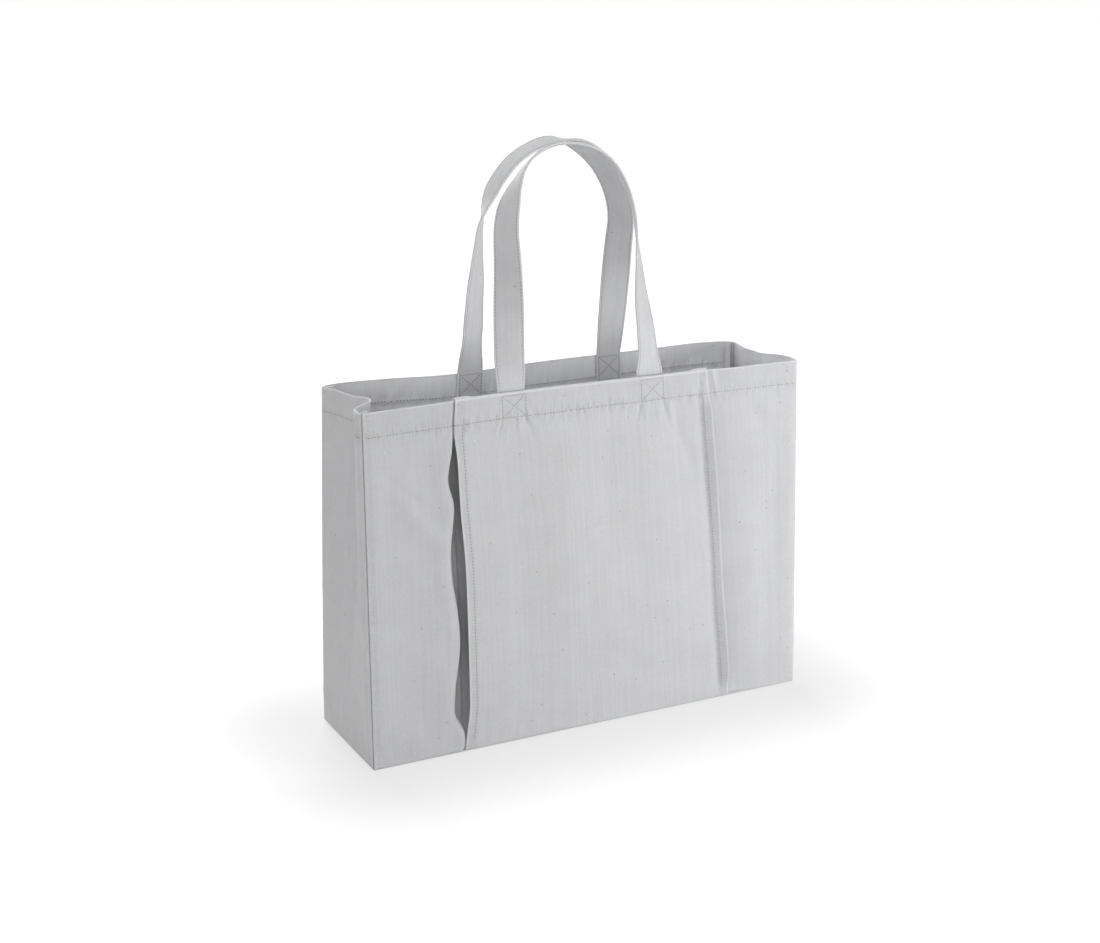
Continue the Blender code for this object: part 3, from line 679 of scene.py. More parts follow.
@dataclass(frozen=True)
class ClothFinish:
    """Undyed woven cotton: thread by thread, with streaks, mottling, specks, painted shade between the threads, folds
    lightened by wearing and by a painted highlight, hem strips darkened with painted shade and inner faces lightened
    with painted light.
    """

    name: str
    colour: Triple
    pitch: float = 0.00085
    streaks: float = 0.034
    mottle: float = 0.05
    thread_tone: float = 0.045
    # painted shade: how much the weave's low places are darkened, for the shade between threads
    painted_weave_shade: float = 0.12
    flecks: float = 0.16
    specks: float = 0.75
    bump: float = 0.00016
    tuck_height: float = 0.0019
    twill: bool = False

    def weave(self, bench: NodeBench, across: Socket, along: Socket) -> Socket:
        """Height of the woven threads.

        Args:
            bench: The material's bench.
            across: Coordinate across the warp, in threads.
            along: Coordinate along the warp, in threads.

        Returns:
            Heights from 0 to 1.
        """
        s = bench.sum
        warp, weft = (s("ABSOLUTE", s("SINE", s("MULTIPLY", way, math.pi))) for way in (across, along))
        steps = 4.0 if self.twill else 2.0
        turn = s("FLOORED_MODULO", s("ADD", s("FLOOR", across), s("FLOOR", along)), steps)
        over = s("LESS_THAN", turn, steps / 2 - 0.5)
        up = s("MULTIPLY", warp, s("MULTIPLY_ADD", weft, 0.5, 0.5))
        down = s("MULTIPLY", weft, s("MULTIPLY_ADD", warp, 0.5, 0.5))
        return s("ADD", s("MULTIPLY", up, over), s("MULTIPLY", down, s("SUBTRACT", 1.0, over)))

    def make(self) -> Material:
        """Build the material, which reads the UV map named cloth, in metres.

        Returns:
            The material.
        """
        bench = MaterialBench(self.name)
        s, noise = bench.sum, bench.noise
        cloth = bench.add("UVMap", uv_map="cloth")[0]
        x, y, _ = bench.add("SeparateXYZ", {0: cloth})

        def drawn_out(over_x: float, over_y: float, detail: float = 2.0) -> Socket:
            """Noise drawn out along the cloth."""
            way = bench.add("CombineXYZ", {0: s("MULTIPLY", x, over_x), 1: s("MULTIPLY", y, over_y)})[0]
            return noise(way, 1.0, detail)

        def thread_tone(way: Socket) -> Socket:
            """A tone for each thread."""
            return bench.add("TexWhiteNoise", {"W": way}, noise_dimensions="1D")[0]

        wander = noise(cloth, 55.0)
        across = s("ADD", s("DIVIDE", x, self.pitch), s("MULTIPLY", wander, 3.0))
        along = s("ADD", s("DIVIDE", y, self.pitch * 1.08), s("MULTIPLY", wander, 2.0))
        height = self.weave(bench, across, along)
        tone = s("MULTIPLY_ADD", s("SUBTRACT", drawn_out(420.0, 16.0), 0.5), self.streaks * 2, 1.0)
        for amount, value, middle in (
            (self.streaks * 0.3, drawn_out(20.0, 460.0), 0.5),
            (self.mottle * 2, noise(cloth, 38.0, 4.0), 0.5),
            (self.mottle, noise(cloth, 9.0), 0.5),
            (self.thread_tone, thread_tone(s("FLOOR", across)), 0.5),
            (self.thread_tone * 0.3, thread_tone(s("ADD", s("FLOOR", along), 0.37)), 0.5),
            (self.flecks, drawn_out(800.0, 260.0, 3.0), 0.5),
            # painted shade: the colour darkens where the weave lies low, for the shade between threads
            (self.painted_weave_shade, height, 0.62),
        ):
            tone = s("ADD", tone, s("MULTIPLY", s("SUBTRACT", value, middle), amount))
        # painted light: inner faces and the rim fold are lightened for the light inside the bag; painted shade: hem
        # strips are darkened
        tone = s("MULTIPLY_ADD", bench.mark("inside"), 0.36, s("MULTIPLY_ADD", bench.mark("painted_hem_shade"), -0.07, tone))
        dark = tuple(c * f for c, f in zip(self.colour, (0.42, 0.36, 0.28))) + (1.0,)
        pale = tuple(min(0.9, c * 1.20) for c in self.colour) + (1.0,)
        slub = bench.spread(noise(cloth, 260.0, 1.0), 0.70, 0.78, 0.0, 0.5)
        cells = bench.add("TexVoronoi", {"Vector": cloth, "Scale": 120.0})
        rare = s("GREATER_THAN", bench.add("SeparateColor", {0: cells["Color"]})[0], 0.80)
        speck = s("MULTIPLY", bench.spread(cells["Distance"], 0.045, 0.125, 1.0, 0.0), rare)
        colour = bench.blend(slub, bench.scaled(self.colour, tone), pale)
        colour = bench.blend(s("MULTIPLY", speck, self.specks), colour, dark)
        # folds and rolled edges blended towards pale, by wearing and by a painted highlight
        colour = bench.blend(s("MULTIPLY", bench.mark("wear_and_painted_light"), 0.7), colour, pale)
        lumps = s("ADD", s("MULTIPLY", noise(cloth, 900.0), 0.35), s("MULTIPLY", slub, 0.5))
        relief = s("ADD", s("ADD", height, lumps), s("MULTIPLY", noise(cloth, 150.0), 0.9))
        tucks = s("MULTIPLY", bench.mark("tuck"), s("SUBTRACT", drawn_out(330.0, 60.0, 1.0), 0.58))
        gathers = s("MULTIPLY", bench.mark("gather"), s("SUBTRACT", drawn_out(60.0, 230.0, 1.0), 0.55))
        wide = bench.add("Bump", {"Strength": 1.0, "Distance": self.tuck_height, "Height": s("ADD", tucks, gathers)})
        fine = {"Strength": 0.75, "Distance": self.bump, "Height": relief, "Normal": wide[0]}
        bench.shade(Base_Color=colour, Roughness=s("MULTIPLY_ADD", s("SUBTRACT", height, 0.5), -0.07, 0.88),
                    Sheen_Weight=0.12, Sheen_Roughness=0.45, Specular_IOR_Level=0.25,
                    Normal=bench.add("Bump", fine)[0])
        return bench.material


@dataclass(frozen=True)
class ThreadFinish:
    """Twisted cotton sewing thread."""

    name: str
    colour: Triple

    def make(self) -> Material:
        """Build the material, with the twist running slantwise along the UV map named cloth.

        Returns:
            The material.
        """
        bench = MaterialBench(self.name)
        s = bench.sum
        cloth = bench.add("UVMap", uv_map="cloth")[0]
        x, y, _ = bench.add("SeparateXYZ", {0: cloth})
        turns = s("ADD", s("MULTIPLY", x, 6000.0), s("MULTIPLY", y, 6000.0))
        twist, fuzz = s("MULTIPLY_ADD", s("SINE", turns), 0.5, 0.5), bench.noise(cloth, 2500.0)
        tone = s("ADD", s("MULTIPLY_ADD", twist, 0.16, 0.88), s("MULTIPLY", s("SUBTRACT", fuzz, 0.5), 0.2))
        # painted shade: darker at the thread's ends and at the centres of the needle-hole cones
        tone = s("MULTIPLY", tone, s("MULTIPLY_ADD", bench.mark("wear_and_painted_light"), -0.80, 1.0))
        bench.shade(Base_Color=bench.scaled(self.colour, tone), Roughness=s("MULTIPLY_ADD", fuzz, 0.15, 0.68),
                    Sheen_Weight=0.15,
                    Normal=bench.add("Bump", {"Strength": 0.6, "Distance": 0.0001, "Height": twist})[0])
        return bench.material


@dataclass(frozen=True)
class StudioFinish:
    """Pale studio floor that shows white to the camera and keeps the object's shadow."""

    colour: Triple = (0.80, 0.80, 0.80)
    shadow_share: float = 0.22
    lift: float = 0.66
    footprint: Pair = (0.25, 0.07)
    far: float = 0.26

    def make(self) -> Material:
        """Build the floor's material.

        Returns:
            The material.
        """
        bench = MaterialBench("studio_floor")
        s, nodes = bench.sum, bench.tree.nodes
        place = bench.add("TexCoord")["Object"]
        tone = s("MULTIPLY_ADD", bench.noise(place, 3.0), 0.02, 0.99)
        bench.shade(Base_Color=bench.scaled(self.colour, tone), Roughness=0.9, Specular_IOR_Level=0.0)
        ways = zip(bench.add("SeparateXYZ", {0: place}), self.footprint)
        beside = [s("MAXIMUM", s("SUBTRACT", s("ABSOLUTE", way), half), 0.0) for way, half in ways]
        away = s("SQRT", s("ADD", *(s("MULTIPLY", b, b) for b in beside)))
        soft = bench.add("BsdfDiffuse", {"Color": (self.shadow_share,) * 3 + (1.0,)})[0]
        glow = bench.add("Emission", {"Strength": bench.spread(away, 0.0, self.far, self.lift, 1.0)})[0]
        both = bench.add("AddShader", {0: soft, 1: glow})[0]
        mixed = {0: bench.seen_rays(), 1: nodes["Principled BSDF"].outputs[0], 2: both}
        bench.feed(nodes["Material Output"].inputs["Surface"], bench.add("MixShader", mixed)[0])
        return bench.material


def finish_mesh(name: str, points: Array, faces: list[Array], uv: Array, marks: dict[str, Array],
                material: Material, sharp: float = 50.0) -> Piece:
    """Make an object from points and faces.

    Args:
        name: The piece's name.
        points: All points; those that no face uses are dropped.
        faces: Faces as arrays of point numbers, one array for each count of corners.
        uv: Cloth coordinates of each point, in metres.
        marks: Numbers from 0 to 1 at each point that the finish reads, such as where wearing and painted light change
            its tone.
        material: Its finish.
        sharp: Angle in degrees above which an edge is shaded sharp.

    Returns:
        The object, linked into the scene.
    """
    used = np.unique(np.concatenate([face.ravel() for face in faces]))
    number = np.full(len(points), -1)
    number[used] = np.arange(len(used))
    mesh = bpy.data.meshes.new(name)
    mesh.from_pydata(points[used].tolist(), [], [row for face in faces for row in number[face].tolist()])
    corners = np.zeros(len(mesh.loops), int)
    mesh.loops.foreach_get("vertex_index", corners)
    mesh.uv_layers.new(name="cloth").data.foreach_set("uv", uv[used][corners].astype(np.float32).ravel())
    for key, values in marks.items():
        mesh.attributes.new(key, "FLOAT", "POINT").data.foreach_set("value", values[used].astype(np.float32))
    mesh.polygons.foreach_set("use_smooth", [True] * len(mesh.polygons))
    mesh.materials.append(material)
    mesh.set_sharp_from_angle(angle=math.radians(sharp))
    mesh.update()
    return put_up(name, mesh)


def put_up(name: str, data: bpy.types.ID, place: Triple = (0, 0, 0), turn: Triple = (0, 0, 0)) -> Piece:
    """Put an object with its data into the scene.

    Args:
        name: Its name.
        data: Its mesh, lamp or camera.
        place: Where it stands.
        turn: How it is turned about X, Y and Z.

    Returns:
        The object.
    """
    item = bpy.data.objects.new(name, data)
    item.location, item.rotation_euler = place, turn
    bpy.context.collection.objects.link(item)
    return item


def tube_faces(shape: tuple[int, ...]) -> list[Array]:
    """Faces of tubes whose points lie in rings.

    Args:
        shape: Counts of tubes, of rings in each and of points in a ring.

    Returns:
        Their sides, and the caps at both ends.
    """
    index = np.arange(math.prod(shape)).reshape(shape)
    after = np.roll(index, -1, axis=2)
    sides = np.stack((index[:, :-1], after[:, :-1], after[:, 1:], index[:, 1:]), -1).reshape(-1, 4)
    return [sides, index[:, 0, ::-1], index[:, -1]]


def dress(piece: Piece, slot: str, *nodes: str) -> Piece:
    """Let a piece ride on the bag and stand for its solids.

    Args:
        piece: The piece.
        slot: The record's material slot; not used.
        nodes: The solids that it replaces.

    Returns:
        The piece.
    """
    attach(piece, "bag")
    if nodes:
        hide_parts(*nodes)
    LOG.info("%s: %d faces", piece.name, len(piece.data.polygons))
    return piece


@dataclass
class Sheet:
    """One cut of cloth, closed between the grids of its two faces."""

    relief: Relief
    node: str
    slot: str
    material: Material
    held: ClassVar[str] = "folded"
    rests_on: ClassVar[tuple[str, ...]] = ("base_panel",)

    def face(self, level: float) -> Array:
        """Grid of points of one face, at a depth under the outer one."""
        raise NotImplementedError

    def keep(self) -> Array:
        """Squares of the grid that are cloth."""
        raise NotImplementedError

    def marks(self, outer: Array) -> dict[str, Array]:
        """Numbers at each point of the outer face that the finish reads."""
        raise NotImplementedError

    def cloth_map(self, points: Array) -> Array:
        """Lengths along the cloth of each point of a grid, across and up."""
        ways = reach_along(points[:, 60]), reach_along(points[len(points) // 2])
        return np.stack(np.meshgrid(*ways, indexing="ij"), axis=-1)

    @staticmethod
    def flat_cut(sheet: Array, keep: Array) -> tuple[Pair, float]:
        """Lay a curved sheet out flat.

        Args:
            sheet: Grid of points of the sheet, columns first.
            keep: Which squares of the grid are cloth.

        Returns:
            Its width and length, and its area.
        """
        across, up = (np.linalg.norm(np.diff(sheet, axis=way), axis=-1).sum(way) for way in (0, 1))
        corners = np.cross(sheet[1:, 1:] - sheet[:-1, :-1], sheet[:-1, 1:] - sheet[1:, :-1])
        area = float((np.linalg.norm(corners, axis=-1) / 2 * keep).sum())
        return (float(across[:-1][keep.all(0)].max()), float(up[:-1][keep.all(1)].max())), area

    def build(self) -> Piece:
        """Build the sheet, log its flat cut and dress it.

        Returns:
            The finished piece.
        """
        outer, inner = self.face(0.0), self.face(self.relief.form.canvas)
        keep, shape = self.keep(), outer.shape[:2]
        index, under = np.arange(math.prod(shape)).reshape(shape), math.prod(shape)
        a, b, c, d = index[:-1, :-1], index[1:, :-1], index[1:, 1:], index[:-1, 1:]
        full = np.pad(keep, 1)
        faces = [np.stack((a, b, c, d), -1)[keep], np.stack((d, c, b, a), -1)[keep] + under]
        for first, second, beside in ((a, b, full[1:-1, :-2]), (b, c, full[2:, 1:-1]),
                                      (c, d, full[1:-1, 2:]), (d, a, full[:-2, 1:-1])):
            faces.append(np.stack((second, first, first + under, second + under), -1)[keep & ~beside])
        marks = {key: np.tile(np.broadcast_to(values, shape).ravel(), 2) for key, values in self.marks(outer).items()}
        # the inner face, which the finish paints lighter as painted light
        marks["inside"][under:] = 1.0
        points = np.concatenate((outer.reshape(-1, 3), inner.reshape(-1, 3)))
        uv = np.tile(self.cloth_map(outer).reshape(-1, 2), (2, 1))
        piece = finish_mesh(self.node + "_cloth", points, faces, uv, marks, self.material)
        flat, area = self.flat_cut((outer + inner) / 2, keep)
        list(self.rests_on)
        LOG.info("%s: cut %.0f by %.0f mm, %.4f square metres", piece.name, *(1000 * side for side in flat), area)
        return dress(piece, self.slot, self.node)


@dataclass
class WallPanel(Sheet):
    """One upright cut of cloth with its seam allowances, rolled corners and hem.

    The four numbers of gathers say how strongly its sides are drawn up, how far in, how widely and from
    which distance on.
    """

    wall: Wall
    spacing: float = 0.0021
    gathers: tuple[float, ...] = (0.75, 0.006, 0.006, 0.004)
    corner_columns: ClassVar[int] = 9
    roll_reach: ClassVar[float] = 0.0055

    def inner(self) -> Array:
        """Places of the columns between the two rolled corners, at the base and at the rim.

        Returns:
            The two lines of places.
        """
        length, spots = self.relief.form.wall_length(self.wall), self.relief.straps[self.wall.value]
        places = close_near(self.roll_reach, length - self.roll_reach, self.spacing, spots)
        return np.stack((places, places))

    def columns(self, level: float) -> tuple[Array, Array, Array]:
        """Places of all columns at the base and at the rim, and their depths under the sheet's outer face.

        Args:
            level: Depth under the sheet's outer face.

        Returns:
            The three lines.
        """
        length, extra = self.relief.form.wall_length(self.wall), self.corner_columns
        base, rim = np.pad(self.inner(), ((0, 0), (extra, extra)), constant_values=((0, 0), (0, length)))
        return base, rim, np.full(len(base), level)

    def edge(self) -> Array:
        """Distance of each column from the nearer side of the sheet, at the base."""
        base = self.columns(0.0)[0]
        return np.minimum(base, self.relief.form.wall_length(self.wall) - base)

    def plies(self, place: Array, z: Array) -> Array:
        """Layers over this panel at each point."""
        return np.zeros(place.shape)

    def layers(self, place: Array, z: Array, under: Array, rise: Array) -> tuple[Array, Array]:
        """Depth of a face, and layers outside it.

        Args:
            place: Places along the wall.
            z: Heights.
            under: Depths under the sheet's outer face.
            rise: How fully the layers above the seam have parted, from 0 to 1.

        Returns:
            Depths and layers at each point.
        """
        plies = self.plies(place, z)
        plies = np.minimum(plies, 1) + np.maximum(plies - 1, 0) * rise
        return self.relief.form.seat + plies * self.relief.form.ply + under, plies

    def sink(self, place: Array, z: Array) -> Array:
        """Depth by which the wall itself is pushed into the bag."""
        return np.zeros(place.shape)

    def face(self, level: float) -> Array:
        """Grid of points of one face, columns first, at a depth under the sheet's outer one.

        Args:
            level: Depth under the sheet's outer face.

        Returns:
            Points, columns first.
        """
        form, rows = self.relief.form, self.relief.form.rows()
        base, rim, under = (values[:, None] for values in self.columns(level))
        place = base + (rim - base) * form.share_up(rows.heights)
        if self.wall is Wall.FRONT:
            place = place + form.edge_shift(place, rows.heights)
        z, on_wall, low = np.broadcast_to(rows.heights, place.shape), rows.are(Kind.WALL), rows.heights == 0
        rise = np.where(low, 0, ease(np.where(on_wall, rows.values, 1.0), 0.004, 0.016))
        depth, plies = self.layers(place, z, under, rise)
        height, inward = form.section(depth, plies)
        press = np.where(on_wall, self.sink(place, z), 0) - np.where(low, 0, self.relief.out(self.wall, place, z))
        points = raised(form.wall_plan(self.wall, place, z, inward + press), height)
        for number in range(self.corner_columns):
            for at_end, k in ((False, number), (True, -1 - number)):
                points[k, :, :2] = form.corner_plan(self.wall, number, at_end, z[k], inward[k])
        return points

    def keep(self) -> Array:
        """Squares that are cloth: the allowances are cut away where three seams meet.

        Returns:
            True for each square that is cloth.
        """
        rows, edge, notch = self.relief.form.rows(), self.edge(), self.relief.form.notch
        count = np.arange(len(edge))
        side = np.minimum(count, count[::-1]) < 3
        return whole_squares(side[:, None] & rows.short(notch) | (edge < notch)[:, None] & rows.are(Kind.SEAM))

    def wear_and_highlight_columns(self) -> Array:
        """How much the sides are lightened at each column, by wearing and by a painted highlight where rolled edges
        catch the light.

        Returns:
            Lightening from 0 to 1, by wearing and by a painted highlight.
        """
        count = np.arange(len(self.edge()))
        number = np.minimum(count, count[::-1])
        return 0.45 * ((number >= 3) & (number < self.corner_columns))

    def painted_hem_shade(self) -> Array:
        """How much painted shade darkens each column where a second layer at the sides backs it."""
        return np.zeros(len(self.edge()))

    def marks(self, outer: Array) -> dict[str, Array]:
        """Numbers at each point of the outer face that the finish reads.

        Args:
            outer: Its grid of points.

        Returns:
            How much wearing and a painted highlight lighten the cloth, how much stitches draw it up along the hem and
            the sides, how much painted shade darkens it where a second layer backs it, and whether it lies inside the
            bag, where painted light lightens it.
        """
        rows, z, line = self.relief.form.rows(), outer[..., 2], self.relief.form.stitch_line
        # rim fold and base roll lightened by wearing and by a painted highlight
        fold_wear_and_highlight = np.where(rows.are(Kind.FOLD), np.sin(rows.values), 0.25 * rows.are(Kind.ROLL))
        share, place, width, least = self.gathers
        return {
            "wear_and_painted_light": np.maximum(fold_wear_and_highlight, self.wear_and_highlight_columns()[:, None]),
            "tuck": bell(z, line, np.where(z > line, 0.0065, 0.0055)),
            "gather": share * bell(np.maximum(self.edge(), least), place, width)[:, None],
            # painted shade on the hem band and the sleeve's turned side hems
            "painted_hem_shade": np.maximum(0.2 * ease(z, line - 0.002, line + 0.001), self.painted_hem_shade()[:, None]),
            # inner faces and the rim fold, which the finish paints lighter as painted light
            "inside": rows.are(Kind.LINING) + 0.5 * rows.are(Kind.FOLD),
        }


def middle_shares(relief: Relief, low: float, high: float) -> Array:
    """Shares of the sleeve's middle, from low to high at the rim, at which it and the panel under it have columns."""
    places = close_near(low, high, 0.0022, relief.straps[Wall.FRONT.value])[1:-1]
    return (places - low) / (high - low)


def join_ends(low: Array, high: Array, share: Array) -> Array:
    """Fill the room between two runs of places, at shares of it."""
    return np.concatenate((low, low[-1] + (high[0] - low[-1]) * share, high))


@dataclass
class FrontPanel(WallPanel):
    """The front wall, which falls back behind the empty sleeve over a soft crooked fold."""

    gape_start: float = 0.0115
    gape_end: float = 0.0060
    gape_rise: float = 0.030
    dive: float = 0.0105
    fold_line: Curve = ((0.000, 0.0990), (0.014, 0.1000), (0.026, 0.0941), (0.040, 0.0880), (0.064, 0.0892),
                        (0.093, 0.0940), (0.118, 0.0964), (0.152, 0.0941), (0.177, 0.0902), (0.205, 0.0882),
                        (0.234, 0.0921), (0.257, 0.0943), (0.282, 0.0886), (0.313, 0.0943), (0.340, 0.0985))

    def inner(self) -> Array:
        """Columns that follow the sleeve's edges, closer together where its layers end.

        Returns:
            The two lines of places.
        """
        form, offsets = self.relief.form, np.arange(EDGE_REACH, -0.0095, -EDGE_STEP)
        left, last = form.sleeve_start, form.length - self.roll_reach
        low = np.concatenate((np.linspace(self.roll_reach, left - 0.010, 34),
                              np.arange(left - 0.009, left + EDGE_REACH, EDGE_STEP)))
        highs = [np.concatenate((right - offsets, np.linspace(right + 0.010, last, 30)))
                 for right in (left + form.sleeve_base, left + form.sleeve_rim)]
        share = middle_shares(self.relief, low[-1], highs[1][0])
        return np.stack([join_ends(low, high, share) for high in highs])

    def plies(self, place: Array, z: Array) -> Array:
        """Layers of the sleeve over the panel."""
        return self.relief.form.plies_over(place, z)

    def sink(self, place: Array, z: Array) -> Array:
        """Depth by which the wall falls back behind the sleeve, past the fold that stands beside it.

        Args:
            place: Places along the wall.
            z: Heights.

        Returns:
            Depths.
        """
        form = self.relief.form
        left, end = form.sleeve_edges(z)
        fold = read_curve(self.fold_line, z)
        size = self.gape_start + (self.gape_end - self.gape_start) * np.clip((place - left) / (end - left), 0, 1)
        size = size * ease(place, fold - 0.002, fold - 0.002 + self.dive)
        size = size * (1 - ease(place, end - 0.050, end - 0.014))
        size = size - 0.0022 * bell(place, fold - 0.007, 0.008) * ease(z, 0.03, 0.08)
        top = 1 - ease(z, form.hem_line - self.gape_rise, form.hem_line - 0.003)
        return size * ease(z, 0.010, 0.010 + self.gape_rise) * top


@dataclass
class MatSleeve(WallPanel):
    """Open-ended outer panel: side edges turned in, bottom in the base seam, top folded in with the hem."""

    gathers: tuple[float, ...] = (0.8, 0.0084, 0.0045, -1.0)
    side_hem: float = 0.010
    swell: float = 0.0018
    flare_left: float = 0.0030
    flare_right: float = 0.0056
    dents: tuple[Dent, ...] = (
        Dent(165, 215, 30, 90, -2, 4), Dent(215, 190, 32, 120, 2.6, 2), Dent(268, 270, 14, 50, -1.6, 8),
        Dent(330, 235, 22, 75, 2.6, -12), Dent(362, 280, 10, 36, -2, -20), Dent(345, 100, 40, 60, 2, 14),
        Dent(230, 55, 60, 30, -2.4, 70), Dent(150, 80, 24, 50, 1.4, -10),
    )
    corner_columns: ClassVar[int] = 0
    rests_on: ClassVar[tuple[str, ...]] = ("front_panel",)

    def columns(self, level: float) -> tuple[Array, Array, Array]:
        """Places of all columns at the base and at the rim, and their depths under the sheet's outer face.

        Args:
            level: Depth under the sheet's outer face.

        Returns:
            The three lines.
        """
        form = self.relief.form
        start, centre, radius = form.sleeve_start, form.fold_radius, form.fold_radius - level
        angles = np.radians(np.linspace(180, 0, 9))
        edge = np.concatenate((np.linspace(self.side_hem, centre, 5)[:-1], centre - radius * np.sin(angles),
                               np.arange(0.0024, EDGE_REACH, EDGE_STEP)))
        depth = np.concatenate((np.full(4, centre + radius), centre - radius * np.cos(angles),
                                np.full(len(edge) - 13, level)))
        ends = start + form.sleeve_base, start + form.sleeve_rim
        share = middle_shares(self.relief, start + edge[-1], ends[1] - edge[-1])
        base, rim = (join_ends(start + edge, end - edge[::-1], share) for end in ends)
        return base, rim, np.concatenate((depth, np.full(len(share), level), depth[::-1]))

    def edge(self) -> Array:
        """Distance of each column from the nearer side of the sheet, at the base."""
        base = self.columns(0.0)[0] - self.relief.form.sleeve_start
        return np.minimum(base, self.relief.form.sleeve_base - base)

    def layers(self, place: Array, z: Array, under: Array, rise: Array) -> tuple[Array, Array]:
        """Depth of a face, and layers outside it: the turned edges part from the sleeve above the seam.

        Args:
            place: Places along the wall.
            z: Heights.
            under: Depths under the sheet's outer face.
            rise: How fully the layers above the seam have parted, from 0 to 1.

        Returns:
            Depths and layers at each point.
        """
        form, level = self.relief.form, under[len(under) // 2]
        left, right = form.sleeve_edges(z)
        turned = 1 - ease(np.minimum(place - left, right - place), *form.step_inside)
        return form.seat + level + (under - level) * rise, 1 + turned * rise

    def sink(self, place: Array, z: Array) -> Array:
        """Depth by which the empty sleeve is pushed in between its seams, less than 0 where it swells out.

        Args:
            place: Places along the wall.
            z: Heights.

        Returns:
            Depths.
        """
        form = self.relief.form
        left, right = form.sleeve_edges(z)
        free = ease(z, 0.010, 0.05) * (1 - ease(z, form.hem_line - 0.040, form.hem_line - 0.002))
        across = ease(place, left - 0.02, left + 0.05) * (1 - ease(place, right - 0.06, right + 0.01))
        out = self.swell * unevenness(77, place / 0.085, z / 0.11) * (0.35 + 0.65 * across)
        out = out + 0.4 * self.swell * unevenness(78, place / 0.030, z / 0.05)
        out = out + sum(dent.at(place, z) for dent in self.dents)
        out = out + self.flare_left * np.clip(1 - (place - left) / 0.0125, 0, 1) ** 1.3
        held = ease(z, 0.008, 0.03) * (1 - ease(z, form.hem_line - 0.014, form.hem_line - 0.001))
        rise = self.flare_right * (0.84 + 0.16 * np.sin(z / 0.034)) * np.clip(1 - (right - place) / 0.0122, 0, 1)
        return -out * free - (rise - 0.0007 * bell(right - place, 0.0128, 0.0030)) * held

    def keep(self) -> Array:
        """Squares that are cloth: the turned side edges end above the base seam.

        Returns:
            True for each square that is cloth.
        """
        form = self.relief.form
        turned = self.columns(0.0)[2] > form.fold_radius * 1.01
        return whole_squares(turned[:, None] & form.rows().short(form.notch))

    def wear_and_highlight_columns(self) -> Array:
        """How much the sides are lightened at each column: the turned edges, by wearing and by a painted highlight.
        """
        return (1 - ease(self.edge(), 0.0007, 0.0022)) * (self.columns(0.0)[2] < self.relief.form.fold_radius)

    def painted_hem_shade(self) -> Array:
        """How much painted shade darkens each column where the turned edge backs it."""
        return 1 - ease(self.edge(), self.side_hem, self.side_hem + 0.0016)


@dataclass
class BasePanel(Sheet):
    """Rectangular floor of the bag, its allowances turned up inside."""

    spacing: float = 0.005
    held: ClassVar[str] = "laid"
    rests_on: ClassVar[tuple[str, ...]] = ()

    def line(self, size: float, level: float) -> Array:
        """Offsets and heights of one face across the floor.

        Args:
            size: Length of the floor in this direction.
            level: Height of the face over the lowest one.

        Returns:
            Pairs of place and height.
        """
        form, reach = self.relief.form, np.array(self.relief.form.reaches)
        away, radius = form.seat + level, float(form.roll_radius(level))
        turn = np.radians((-225, -198, -171, -144, -117, -90))
        start = level + away * ROOT_TWO + radius * (1 + ROOT_TWO)
        flat = np.linspace(0.006, size / 2, round(size / 2 / self.spacing))
        place = np.concatenate(((reach + away) / ROOT_TWO, start + radius * np.cos(turn), flat)) - size / 2
        height = np.concatenate(((reach - away) / ROOT_TWO, level + radius + radius * np.sin(turn),
                                 np.full(len(flat), level)))
        half = np.stack((place, height), -1)
        return np.concatenate((half, half[-2::-1] * (-1, 1)))

    def face(self, level: float) -> Array:
        """Grid of points of one face, seen from below, at a height over the lowest one.

        Args:
            level: Height over the lowest face.

        Returns:
            Points, columns first.
        """
        form = self.relief.form
        along, across = self.line(form.length, level)[:, None], self.line(form.depth, level)[None, ::-1]
        x, y = np.broadcast_arrays(along[..., 0], across[..., 0])
        edge = np.minimum(form.length / 2 - np.abs(x), form.depth / 2 - np.abs(y))
        ripple = 0.0005 * (1 + unevenness(91, x / 0.05, y / 0.04)) * ease(edge, 0.012, 0.03)
        return np.stack((x, y, np.maximum(along[..., 1], across[..., 1]) + ripple), -1)

    def near(self, reach: int) -> list[Array]:
        """Columns, then rows, that lie within a count of the sheet's sides.

        Args:
            reach: The count.

        Returns:
            True for each column and for each row that lies so near.
        """
        form, places = self.relief.form, []
        for size in (form.length, form.depth):
            count = np.arange(len(self.line(size, 0.0)))
            places.append(np.minimum(count, count[::-1]) < reach)
        return [places[0][:, None], places[1][None, :]]

    def keep(self) -> Array:
        """Squares that are cloth: the allowances are cut away at the corners."""
        (side, end), (wide_side, wide_end) = self.near(3), self.near(11)
        return whole_squares(side & wide_end | wide_side & end)

    def marks(self, outer: Array) -> dict[str, Array]:
        """How much each point near the sides is lightened, and that the outer face lies outside."""
        return {"wear_and_painted_light": 0.3 * np.logical_or(*self.near(9)), "inside": np.zeros(outer.shape[:2])}

    def cloth_map(self, points: Array) -> Array:
        """Places of the points along the floor."""
        return points[..., :2]


